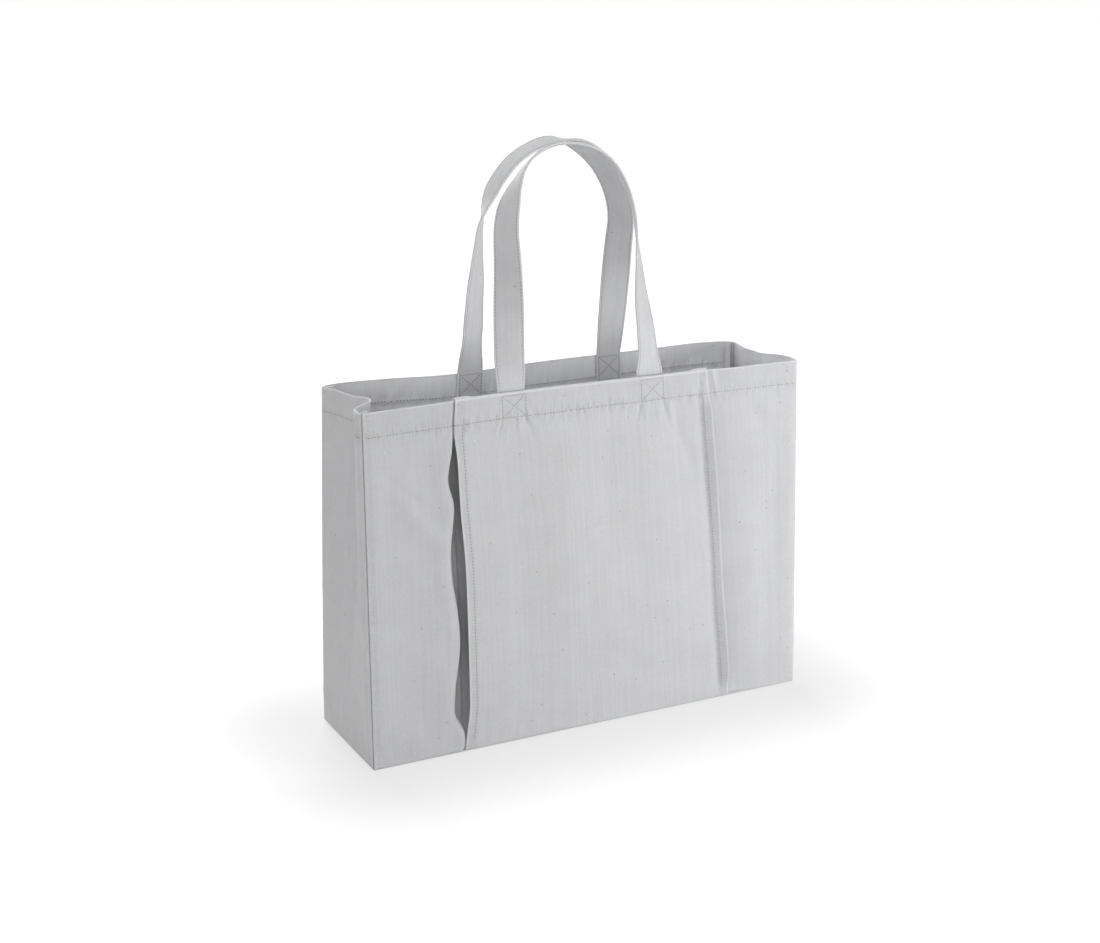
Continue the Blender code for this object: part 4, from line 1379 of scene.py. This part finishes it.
@dataclass
class Needlework:
    """Rows of single stitches, gathered into one piece."""

    name: str
    material: Material
    pitch: float = 0.0034
    length: float = 0.0025
    radius: float = 0.00030
    lift: float = 0.00022
    hole: float = 0.00080
    rim_lift: float = 0.00004
    floor_lift: float = 0.00016
    hole_stretch: float = 1.25
    rows: list[tuple[Array, Array]] = field(default_factory=list)

    def lay(self, points: Array, normals: Array) -> None:
        """Add a row of stitches.

        Args:
            points: The path on the cloth, closely spaced.
            normals: Directions off the cloth along the path.
        """
        reach = reach_along(points)
        count = max(1, int(reach[-1] // self.pitch))
        starts = (np.arange(count) + 0.5) * reach[-1] / count - self.length / 2
        stations = starts[:, None] + np.linspace(0, 1, 5)[None, :] * self.length
        spots, off = (np.stack([np.interp(stations, reach, values[:, k]) for k in range(3)], axis=-1)
                      for values in (points, normals))
        self.rows.append((spots, unit(off)))

    def build(self) -> Piece:
        """Build the thread of every row laid so far, its ends darkened as painted shade where it dives into the
        cloth, and after each stitch a low cone, dark at its centre, that paints the shade of the dimple where the
        needle went in.

        Returns:
            The finished piece.
        """
        spots, off = (np.concatenate([row[k] for row in self.rows]) for k in (0, 1))
        along = unit(spots[:, -1] - spots[:, 0])[:, None, :]
        off = unit(off - (off * along).sum(-1, keepdims=True) * along)
        side = np.cross(np.broadcast_to(along, off.shape), off)
        arch = np.array((-1.0, 0.35, 1.0, 0.35, -1.0))[None, :, None] * self.lift
        width = np.array((0.55, 0.95, 1.0, 0.95, 0.55))[None, :, None, None] * self.radius
        turns = np.linspace(0, 2 * math.pi, 7)[:-1]
        ring = np.cos(turns)[:, None] * off[:, :, None, :] + np.sin(turns)[:, None] * side[:, :, None, :]
        points = (spots + off * arch)[:, :, None, :] + ring * width
        shape, count = points.shape[:3], len(points)
        reach = np.linspace(0, self.length, 5)[None, :, None] + np.arange(count)[:, None, None] * self.pitch
        uv = np.stack(np.broadcast_arrays(reach, np.broadcast_to(turns * self.radius, shape)), -1).reshape(-1, 2)
        # painted shade: the thread darkens towards its ends, where it dives into the cloth
        dark = np.broadcast_to(np.array((1.0, 0.25, 0.0, 0.25, 1.0))[None, :, None], shape).ravel()

        # after each stitch a low cone, dark at its centre: painted shade for the dimple where the needle went in
        out, way = off[:, -1, None], along
        turns = np.linspace(0, 2 * math.pi, 9)[:-1, None]
        middle = spots[:, -1, None] + way * (self.pitch - self.length) / 2
        ring = self.hole_stretch * np.cos(turns) * way + np.sin(turns) * np.cross(way, out)
        rim = middle + out * self.rim_lift + self.hole * ring
        holes = np.concatenate((rim, middle + out * self.floor_lift), axis=1)
        k, first = np.arange(8), len(uv) + 9 * np.arange(count)[:, None]
        cones = np.stack(np.broadcast_arrays(first + k, first + (k + 1) % 8, first + 8), -1).reshape(-1, 3)
        # painted shade of the thread ends, then of each cone: 0.15 at its rim, 1 at its centre
        wear_and_painted_light = np.concatenate((dark, np.tile((0.15,) * 8 + (1.0,), count)))
        return finish_mesh(self.name, np.concatenate((points.reshape(-1, 3), holes.reshape(-1, 3))),
                           [*tube_faces(shape), cones], np.concatenate((uv, np.tile(uv[:1], (9 * count, 1)))),
                           {"wear_and_painted_light": wear_and_painted_light}, self.material, 75.0)


@dataclass
class StrapLoop:
    """One long handle: a canvas strap from its sewn end up, over and down to the other. Pairs are left, right."""

    relief: Relief
    wall: Wall
    material: Material
    thread: Material
    places: Pair
    top_halves: Pair
    shoulders: Pair
    top_drop: float
    turns: tuple[Curve, Curve]
    width: float = 0.030
    thickness: float = 0.0024
    seam_depth: float = 0.026
    start_rise: float = 0.006
    rise: float = 0.2290
    leg_rise: float = 0.135
    top_offset: float = 0.017
    stitch_inset: float = 0.0022
    bend: Pair = (-0.001, 0.020)

    @property
    def facing(self) -> int:
        """1 at the front and -1 at the back."""
        return 1 if self.wall is Wall.FRONT else -1

    def seat_depth(self) -> float:
        """Depth of the hem's inner face, where the strap lies on it."""
        form, plies = self.relief.form, 1 if self.wall is Wall.FRONT else 0
        return form.seat + 2 * plies * form.ply + 2 * form.fold_radius + form.gap

    def place(self, end: End) -> float:
        """Place of the strap's centre along its wall, as the wall runs."""
        place = self.places[end.value]
        return place if self.wall is Wall.FRONT else self.relief.form.length - place

    def sewn(self, end: End, profile: Array) -> Array:
        """Sections of a sewn end that lie along the hem, upward.

        Args:
            end: The end.
            profile: Points of a section, from -1 to 1 across and through the strap.

        Returns:
            Points for each section.
        """
        rim, sign = self.relief.form.rim, self.facing * (1 - 2 * end.value)
        place = self.place(end) + sign * profile[:, 0] * self.width / 2
        inward = self.seat_depth() + self.thickness / 2 * (1 + self.facing * profile[:, 1])
        return self.relief.surface(self.wall, place, np.linspace(rim - self.seam_depth, rim, 14)[:, None], inward)[0]

    def free(self, profile: Array, count: int = 190) -> Array:
        """Sections of the free part of the strap, turned as the strap turns.

        Args:
            profile: Points of a section, from -1 to 1 across and through the strap.
            count: How many stretches.

        Returns:
            Points for each section.
        """
        form, base = self.relief.form, self.relief.form.rim + self.start_rise
        run = np.linspace(-1, 1, count + 1)
        ends, way = (run >= 0).astype(int), 1 - np.abs(run)
        spots, top_half, shoulder = (np.array(pair)[ends] for pair in (
            [self.place(end) for end in End], self.top_halves, self.shoulders))
        start = form.wall_plan(self.wall, spots, form.rim, self.seat_depth() + self.thickness / 2)
        inward = raised(turn_left(form.wall_run(self.wall, spots / form.wall_length(self.wall), form.rim)), 0.0)
        middle, crown = (start[0, 0] + start[-1, 0]) / 2, self.rise - self.leg_rise - self.top_drop
        leg = self.leg_rise / (self.leg_rise + math.pi / 2 * crown)
        half = np.sign(run + 0.5 / count) * top_half
        turn = np.clip((way - leg) / (1 - leg), 0, 1) * math.pi / 2
        arch = half * np.maximum(np.cos(turn), 0.0) ** shoulder
        x = np.where(way < leg, start[:, 0] + (middle + half - start[:, 0]) * ease(way / leg, 0, 1), middle + arch)
        rise = np.where(way < leg, self.leg_rise * way / leg, self.leg_rise + crown * np.sin(turn) ** shoulder)
        up = rise / (self.rise - self.top_drop)
        y = start[:, 1] + (-self.top_offset * self.facing - start[:, 1]) * up
        points, up = np.stack((x, y, base + rise), -1), up[:, None]
        tangents = unit(np.concatenate((points[1:], points[-1:])) - np.concatenate((points[:1], points[:-1])))
        tangents[0], tangents[-1] = (0, 0, 1), (0, 0, -1)
        turn = np.where(ends, *(read_curve(curve, way) for curve in self.turns[::-1]))[:, None] * math.pi / 2
        inside = unit(np.cross(inward * self.facing * (1 - up) + np.array((0, 1, 0)) * up, tangents))
        width = inside * np.cos(turn) - np.cross(tangents, inside) * np.sin(turn) * self.facing
        through, share = np.cross(tangents, width), np.linspace(0, 1, len(points))
        plump = 1 + 0.05 * unevenness(5 + self.facing, share * 46, 0.5)
        drift = 0.0011 * unevenness(9 + self.facing, share * 15, 0.5) * ease(way, 0.02, 0.1)
        return ((points + through * drift[:, None])[:, None] + width[:, None] * profile[:, :1] * self.width / 2
                + through[:, None] * profile[:, 1:] * (plump * self.thickness / 2)[:, None, None])

    def sweep(self, profile: Array) -> Array:
        """Sections from one sewn end to the other.

        Args:
            profile: Points of a section, from -1 to 1 across and through the strap.

        Returns:
            Points for each section.
        """
        left, free, right = self.sewn(End.LEFT, profile), self.free(profile), self.sewn(End.RIGHT, profile)[::-1]
        share = np.linspace(0, 1, 5)[1:-1, None, None]
        rise, fall = (a * (1 - share) + b * share for a, b in ((left[-1], free[0]), (free[-1], right[0])))
        return np.concatenate((left, rise, free, fall, right))

    def section(self, row: float) -> Array:
        """Outline of the strap's section: flat, thinner along its rows of stitches, round at its edges.

        Args:
            row: Place of a row of stitches, where 1 is the edge.

        Returns:
            Points, once round.
        """
        half = [(-1.0, 0.35), (-0.985, 0.75), (-0.95, 0.97), (-row - 0.035, 0.98), (-row, 0.80),
                (-row + 0.04, 0.99), (-0.6, 1.0), (-0.3, 1.03), (0.0, 1.05)]
        top = np.array(half + [(-a, b) for a, b in half[-2::-1]])
        return np.concatenate((top * (1, -1), top[::-1]))

    def build(self) -> None:
        """Build the strap and the stitches along its edges, and hide the solids that they replace."""
        side, row = self.wall.name.lower(), 1 - self.stitch_inset / (self.width / 2)
        profile = self.section(row)
        rings = self.sweep(profile)
        u = profile[:, 0] * self.width / 2 + 0.08 * (profile[:, 1] > 0)
        uv = np.stack(np.broadcast_arrays(u, reach_along(rings.mean(1))[:, None]), -1).reshape(-1, 2)
        wear_and_painted_light = np.tile(np.clip(np.abs(profile[:, 0]) * 12 - 11, 0, 1) * 0.7, len(rings))
        strap = finish_mesh(f"{side}_strap", rings.reshape(-1, 3), tube_faces((1, *rings.shape[:2])), uv,
                            {"wear_and_painted_light": wear_and_painted_light}, self.material, 60.0)
        work = Needlework(f"{side}_strap_stitches", self.thread)
        for a in (-row, row):
            pair = self.sweep(np.array(((a, -0.82), (a, 0.82))))
            off = unit(pair[:, 1] - pair[:, 0])
            work.lay(pair[:, 1], off)
            work.lay(pair[:, 0], -off)
        for piece in (strap, work.build()):
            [(0.0, 0.0, self.relief.form.rim + z) for z in self.bend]
            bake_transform(piece)
            LOG.info("%s: %d faces", piece.name, len(piece.data.polygons))
        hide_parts(f"{side}_handle", f"{side}_left_strap_end", f"{side}_right_strap_end")


@dataclass
class SeamTape:
    """Cotton tape folded over the raw edges of a seam."""

    relief: Relief
    material: Material
    work: Needlework
    tape: float = 0.0006
    cover: float = 0.005
    room: float = 0.0005
    widening: float = 0.006
    row: float = 0.0096

    def fold(self, name: str, node: str, origin: Array, ways: tuple[Array, Array], sides: Pair, sway: Array,
             sewn: slice = slice(None), squeeze: float = 1.0) -> None:
        """Fold one tape over a seam, and lay its two rows of stitches.

        Args:
            name: The piece's name.
            node: The solid that it replaces.
            origin: Points of the seam.
            ways: Directions into the allowance and across it, at each point.
            sides: Distances of the tape's inner faces on both sides, at each point.
            sway: How far the tape strays at each point.
            sewn: Points between which it is sewn.
            squeeze: Size of its last ring.
        """
        start, end = self.relief.form.reaches[0] - self.cover, self.relief.form.reaches[0] + self.relief.form.gap
        fold, (low, high) = end + self.tape, (np.broadcast_to(side, sway.shape) for side in sides)
        lo, hi = low + self.tape, high + self.tape
        reach = np.array((start, start, end, end, start, start, start + 0.0004, fold - 0.0006, fold - 0.00018,
                          fold, fold, fold - 0.00018, fold - 0.0006, start + 0.0004)) + sway[:, None]
        place = np.stack((hi - 0.0001, high, high, -low, -low, 0.0001 - lo, -lo, -lo, -0.8 * lo, -0.35 * lo,
                          0.35 * hi, 0.8 * hi, hi, hi), -1) + sway[:, None]
        into, across = ways
        rings = origin[:, None] + into[:, None] * reach[..., None] + across[:, None] * place[..., None]
        rings[-1, :, :2] = rings[-1, :, :2] * squeeze + rings[-1, :, :2].mean(0) * (1 - squeeze)
        for sign, half in ((-1, lo), (1, hi)):
            line = origin + into * self.row + across * (sign * half)[:, None]
            self.work.lay(line[sewn], sign * across[sewn])
        around = reach_along(rings[0])
        uv = np.stack(np.meshgrid(reach_along(rings.mean(1)), around, indexing="ij"), -1).reshape(-1, 2)[:, ::-1]
        wear_and_painted_light = np.tile(0.5 * np.isin(np.arange(len(around)), (8, 9, 10, 11)), len(rings))
        piece = finish_mesh(name, rings.reshape(-1, 3), tube_faces((1, *rings.shape[:2])), uv, {"wear_and_painted_light": wear_and_painted_light},
                            self.material, 45.0)
        dress(piece, "binding_tape", node)

    def corner(self, corner: Corner, stand: float = 0.0) -> None:
        """Tape on an upright seam, wider where the hem doubles the cloth.

        Args:
            corner: The seam.
            stand: How far its top stands over the rim.
        """
        form, name = self.relief.form, corner.name.lower()
        wide = form.hem_line - self.widening
        plain, hemmed = (form.seat + thick + self.room for thick in (form.canvas, 2 * form.fold_radius))
        z = np.concatenate((np.linspace(form.notch + form.gap, wide, 70),
                            np.linspace(wide, form.rim + form.fold_radius + stand, 14)[1:]))
        half, level = plain + (hemmed - plain) * ease(z, wide, form.hem_line - 0.001), np.minimum(z, form.rim)
        along = form.seam_run(corner, level)
        sway = 0.00016 * unevenness(31, z / 0.011, corner.value * 3.1)
        self.fold(f"{name}_tape", f"{name}_binding", raised(form.corner_point(corner, level), z),
                  (raised(along, 0.0), raised(turn_left(along), 0.0)), (half, half), sway, slice(-1),
                  0.7 if stand else 1.0)

    def base(self, wall: Wall) -> None:
        """Tape on a seam round the base.

        Args:
            wall: The wall beside the seam.
        """
        form, name, length = self.relief.form, wall.name.lower(), self.relief.form.wall_length(wall)
        low = form.seat + form.canvas + self.room
        high = low + (form.ply if wall is Wall.FRONT else 0)
        places = np.linspace(form.notch + form.gap, length - form.notch - form.gap, round(length / 0.005))
        inside = turn_left(form.wall_run(wall, places / length, 0.0)) / ROOT_TWO
        sway = 0.00014 * unevenness(33, places / 0.012, wall.value * 2.3)
        self.fold(f"{name}_base_tape", f"{name}_base_binding", raised(form.wall_plan(wall, places, 0.0, 0.0), 0.0),
                  (raised(inside, 1 / ROOT_TWO), raised(-inside, 1 / ROOT_TWO)), (low, high), sway)


@dataclass
class Sewing:
    """The stitches that show on the panels: hem, sleeve edges and crossed boxes."""

    relief: Relief
    side_row: float = 0.0084

    def hem(self, work: Needlework) -> None:
        """Stitches that hold the hem, outside and inside.

        Args:
            work: Where the stitches are laid.
        """
        form = self.relief.form
        for wall in Wall:
            for inset, sign in ((0.0035, 1), (0.010, -1)):
                place = np.arange(inset, form.wall_length(wall) - inset, 0.0009)
                z = form.stitch_line + 0.00025 * unevenness(41, place / 0.03, 0.5)
                left, right = form.sleeve_edges(z)
                beside = (place < left) | (place > right)
                plies = form.plies_over(place, z) * (wall is Wall.FRONT)
                outside = form.seat + plies * beside * form.ply
                inside = form.seat + 2 * np.where(beside, plies / 2, plies) * form.ply + 2 * form.fold_radius
                points, off = self.relief.surface(wall, place, z, outside if sign > 0 else inside)
                work.lay(points, sign * off)

    def sleeve_sides(self, work: Needlework, sleeve: MatSleeve) -> None:
        """Stitches along the sleeve's two turned edges.

        Args:
            work: Where the stitches are laid.
            sleeve: The sleeve.
        """
        form = self.relief.form
        z = np.arange(0.012, form.stitch_line - 0.001, EDGE_STEP)
        left, right = form.sleeve_edges(z)
        for place in (left + self.side_row, right - self.side_row):
            work.lay(*self.relief.surface(Wall.FRONT, place, z, form.seat + sleeve.sink(place, z)))

    def crossed_box(self, work: Needlework, wall: Wall, centre: float, inward: float, sign: int) -> None:
        """A box of stitches with a cross in it, through a strap's end.

        Args:
            work: Where the stitches are laid.
            wall: The wall.
            centre: Place of its centre along the wall.
            inward: Depth of the face that it shows on.
            sign: 1 on the outside of the bag and -1 inside.
        """
        low, (width, height) = self.relief.form.stitch_line + self.relief.box_rise, self.relief.box
        a, b, high = centre - width / 2, centre + width / 2, low + height
        for p0, z0, p1, z1 in ((a, high, b, high), (b, high, b, low), (a, low, a, high),
                               (a, high, b, low), (b, high, a, low)):
            share = np.linspace(0.03, 0.97, 24)
            points, off = self.relief.surface(wall, p0 + (p1 - p0) * share, z0 + (z1 - z0) * share, inward)
            work.lay(points, sign * off)


@dataclass(frozen=True)
class Lamp:
    """A soft square lamp that looks at the bag: where it hangs, its side in metres and its power in watts."""

    name: str
    place: Triple
    size: float
    power: float

    def hang(self) -> None:
        """Hang the lamp."""
        data = bpy.data.lights.new(self.name, "AREA")
        data.shape, data.size, data.energy = "SQUARE", self.size, self.power
        x, y, z = np.array((0.0, 0.0, 0.22)) - np.array(self.place)
        put_up(self.name, data, self.place, (math.atan2(math.hypot(x, y), -z), 0, math.atan2(y, x) - math.pi / 2))


@dataclass
class Studio:
    """Camera at the photograph's place, soft lamps and a pale floor."""

    lens: float = 55.95
    place: Triple = (-0.80075, -1.50975, 0.73202)
    pitch: float = 74.4305
    yaw: float = -27.3876
    ambient: float = 0.33
    lamps: tuple[Lamp, ...] = (
        Lamp("key_lamp", (1.00, -1.05, 0.28), 0.55, 11.2),
        Lamp("high_lamp", (-0.20, -1.35, 1.60), 0.9, 2.0),
        Lamp("left_lamp", (-2.20, -1.00, 1.20), 1.6, 14.6),
        Lamp("back_lamp", (0.20, 2.20, 1.40), 1.4, 56.0),
        Lamp("top_lamp", (-0.10, -0.10, 2.00), 1.4, 4.6),
    )

    def camera(self) -> None:
        """Put up the camera."""
        data = bpy.data.cameras.new("camera")
        data.sensor_width, data.lens, data.clip_start, data.clip_end = 36.0, self.lens, 0.05, 60.0
        turn = (math.radians(self.pitch), 0, math.radians(self.yaw))
        bpy.context.scene.camera = put_up("camera", data, self.place, turn)

    def surroundings(self) -> None:
        """Even light from all round, white where the camera sees it."""
        world = bpy.data.worlds.new("studio")
        world.use_nodes = True
        bpy.context.scene.world = world
        bench, back = NodeBench(world.node_tree), world.node_tree.nodes["Background"]
        level = {"Value": bench.seen_rays(), "To Min": self.ambient, "To Max": 1.0}
        bench.feed(back.inputs["Color"], (1.0, 1.0, 1.0, 1.0))
        bench.feed(back.inputs["Strength"], bench.add("MapRange", level)[0])

    def floor(self) -> None:
        """Lay the floor."""
        mesh = bpy.data.meshes.new("studio_floor")
        half, low = 40.0, -0.0004
        mesh.from_pydata([(x * half, y * half, low) for x, y in BagForm.corner_signs], [], [(0, 1, 2, 3)])
        mesh.materials.append(StudioFinish().make())
        put_up("studio_floor", mesh)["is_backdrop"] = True

    def build(self) -> None:
        """Put up the whole studio."""
        self.camera()
        self.floor()
        self.surroundings()
        for lamp in self.lamps:
            lamp.hang()
        bpy.context.scene.view_settings.view_transform = "Standard"


@dataclass
class Bag:
    """The whole bag."""

    relief: Relief
    thread_colour: Triple = (0.650, 0.652, 0.660)
    grey: Triple = (0.600, 0.602, 0.612)
    front_cut: ClassVar[dict[str, object]] = {
        "places": (0.164, 0.3205), "top_halves": (0.0725, 0.0725), "shoulders": (0.95, 0.90), "top_drop": 0.001,
        "turns": (
            ((0.0, 0.0), (0.073, 0.2), (0.22, 0.33), (0.36, 0.54), (0.5, 0.69), (0.6, 0.81), (0.654, 0.97),
             (0.693, 1.08), (0.73, 1.18), (0.78, 1.23), (0.83, 1.24), (0.9, 1.2), (1.0, 1.06)),
            ((0.0, 0.0), (0.062, 0.22), (0.1, 0.25), (0.17, 0.31), (0.245, 0.39), (0.32, 0.49), (0.39, 0.58),
             (0.47, 0.67), (0.6, 0.76), (0.7, 0.83), (0.8, 0.89), (0.9, 0.96), (1.0, 1.06)),
        ),
    }
    back_cut: ClassVar[dict[str, object]] = {
        "places": (0.1632, 0.3385), "top_halves": (0.083, 0.082), "shoulders": (1.0, 1.16), "top_drop": 0.0,
        "turns": (
            ((0.0, 0.0), (0.09, 0.19), (0.165, 0.22), (0.24, 0.28), (0.31, 0.33), (0.386, 0.44), (0.456, 0.53),
             (0.531, 0.63), (0.575, 0.78), (0.63, 0.95), (0.67, 1.0), (0.75, 1.03), (0.85, 1.05), (0.95, 1.1),
             (1.0, 1.06)),
            ((0.0, 0.0), (0.1, 0.13), (0.26, 0.3), (0.336, 0.44), (0.41, 0.53), (0.5, 0.61), (0.6, 0.68),
             (0.75, 0.73), (0.83, 0.76), (0.875, 0.79), (0.933, 0.88), (0.97, 0.98), (1.0, 1.06)),
        ),
    }

    def build(self) -> None:
        """Build every piece in order."""
        walls = ClothFinish("wall_canvas_cloth", self.grey).make()
        gussets = ClothFinish("gusset_canvas_cloth", self.grey, mottle=0.07).make()
        sleeve_cloth = ClothFinish("sleeve_canvas_cloth", (0.622, 0.624, 0.634), streaks=0.04).make()
        thread = ThreadFinish("cotton_thread", self.thread_colour).make()
        FrontPanel(self.relief, "front_panel", "wall_canvas", walls, Wall.FRONT).build()
        WallPanel(self.relief, "back_panel", "wall_canvas", walls, Wall.BACK).build()
        WallPanel(self.relief, "left_gusset", "gusset_canvas", gussets, Wall.LEFT, 0.0019).build()
        WallPanel(self.relief, "right_gusset", "gusset_canvas", gussets, Wall.RIGHT, 0.0019).build()
        BasePanel(self.relief, "base_panel", "wall_canvas", walls).build()
        sleeve = MatSleeve(self.relief, "mat_sleeve", "sleeve_canvas", sleeve_cloth, Wall.FRONT)
        sleeve.build()
        self.straps(thread)
        self.tapes(thread)
        hem, sides = (Needlework(name, thread) for name in ("hem_stitches", "sleeve_edge_stitches"))
        Sewing(self.relief).hem(hem)
        dress(hem.build(), "wall_canvas")
        Sewing(self.relief).sleeve_sides(sides, sleeve)
        dress(sides.build(), "sleeve_canvas")

    def straps(self, thread: Material) -> None:
        """Build both straps and the crossed boxes that hold them.

        Args:
            thread: The thread's material.
        """
        cloth = ClothFinish("strap_canvas_cloth", (0.655, 0.657, 0.667), pitch=0.0008, mottle=0.08).make()
        boxes = Needlework("crossed_box_stitches", thread, pitch=0.0029, length=0.0022)
        for wall, cut in ((Wall.FRONT, self.front_cut), (Wall.BACK, self.back_cut)):
            strap = StrapLoop(self.relief, wall, cloth, thread, **cut)
            strap.build()
            for end in End:
                for inward, sign in ((self.relief.form.seat, 1), (strap.seat_depth() + strap.thickness, -1)):
                    Sewing(self.relief).crossed_box(boxes, wall, strap.place(end), inward, sign)
        dress(boxes.build(), "strap_canvas")

    def tapes(self, thread: Material) -> None:
        """Build the tapes over the inside seams.

        Args:
            thread: The thread's material.
        """
        cloth = ClothFinish("tape_twill", (0.680, 0.681, 0.690), pitch=0.0005, specks=0.2, twill=True).make()
        tape = SeamTape(self.relief, cloth, Needlework("tape_stitches", thread, 0.0032, 0.0023, 0.00024))
        for corner in Corner:
            tape.corner(corner, 0.0012 if corner is Corner.BACK_RIGHT else 0.0)
        for wall in Wall:
            tape.base(wall)
        dress(tape.work.build(), "binding_tape")


def write_sizes() -> None:
    """Work out the solids' box and the visual model's box."""
    boxes = {"cad": CAD_BOX, "visual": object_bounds()}
    {name: [list(corner) for corner in box] for name, box in boxes.items()}


def main() -> None:
    """Build the studio and the bag."""
    logging.basicConfig(level=logging.INFO, format="%(message)s")
    Studio().build()
    Bag(Relief(BagForm())).build()
    write_sizes()


if __name__ == "__main__":
    main()
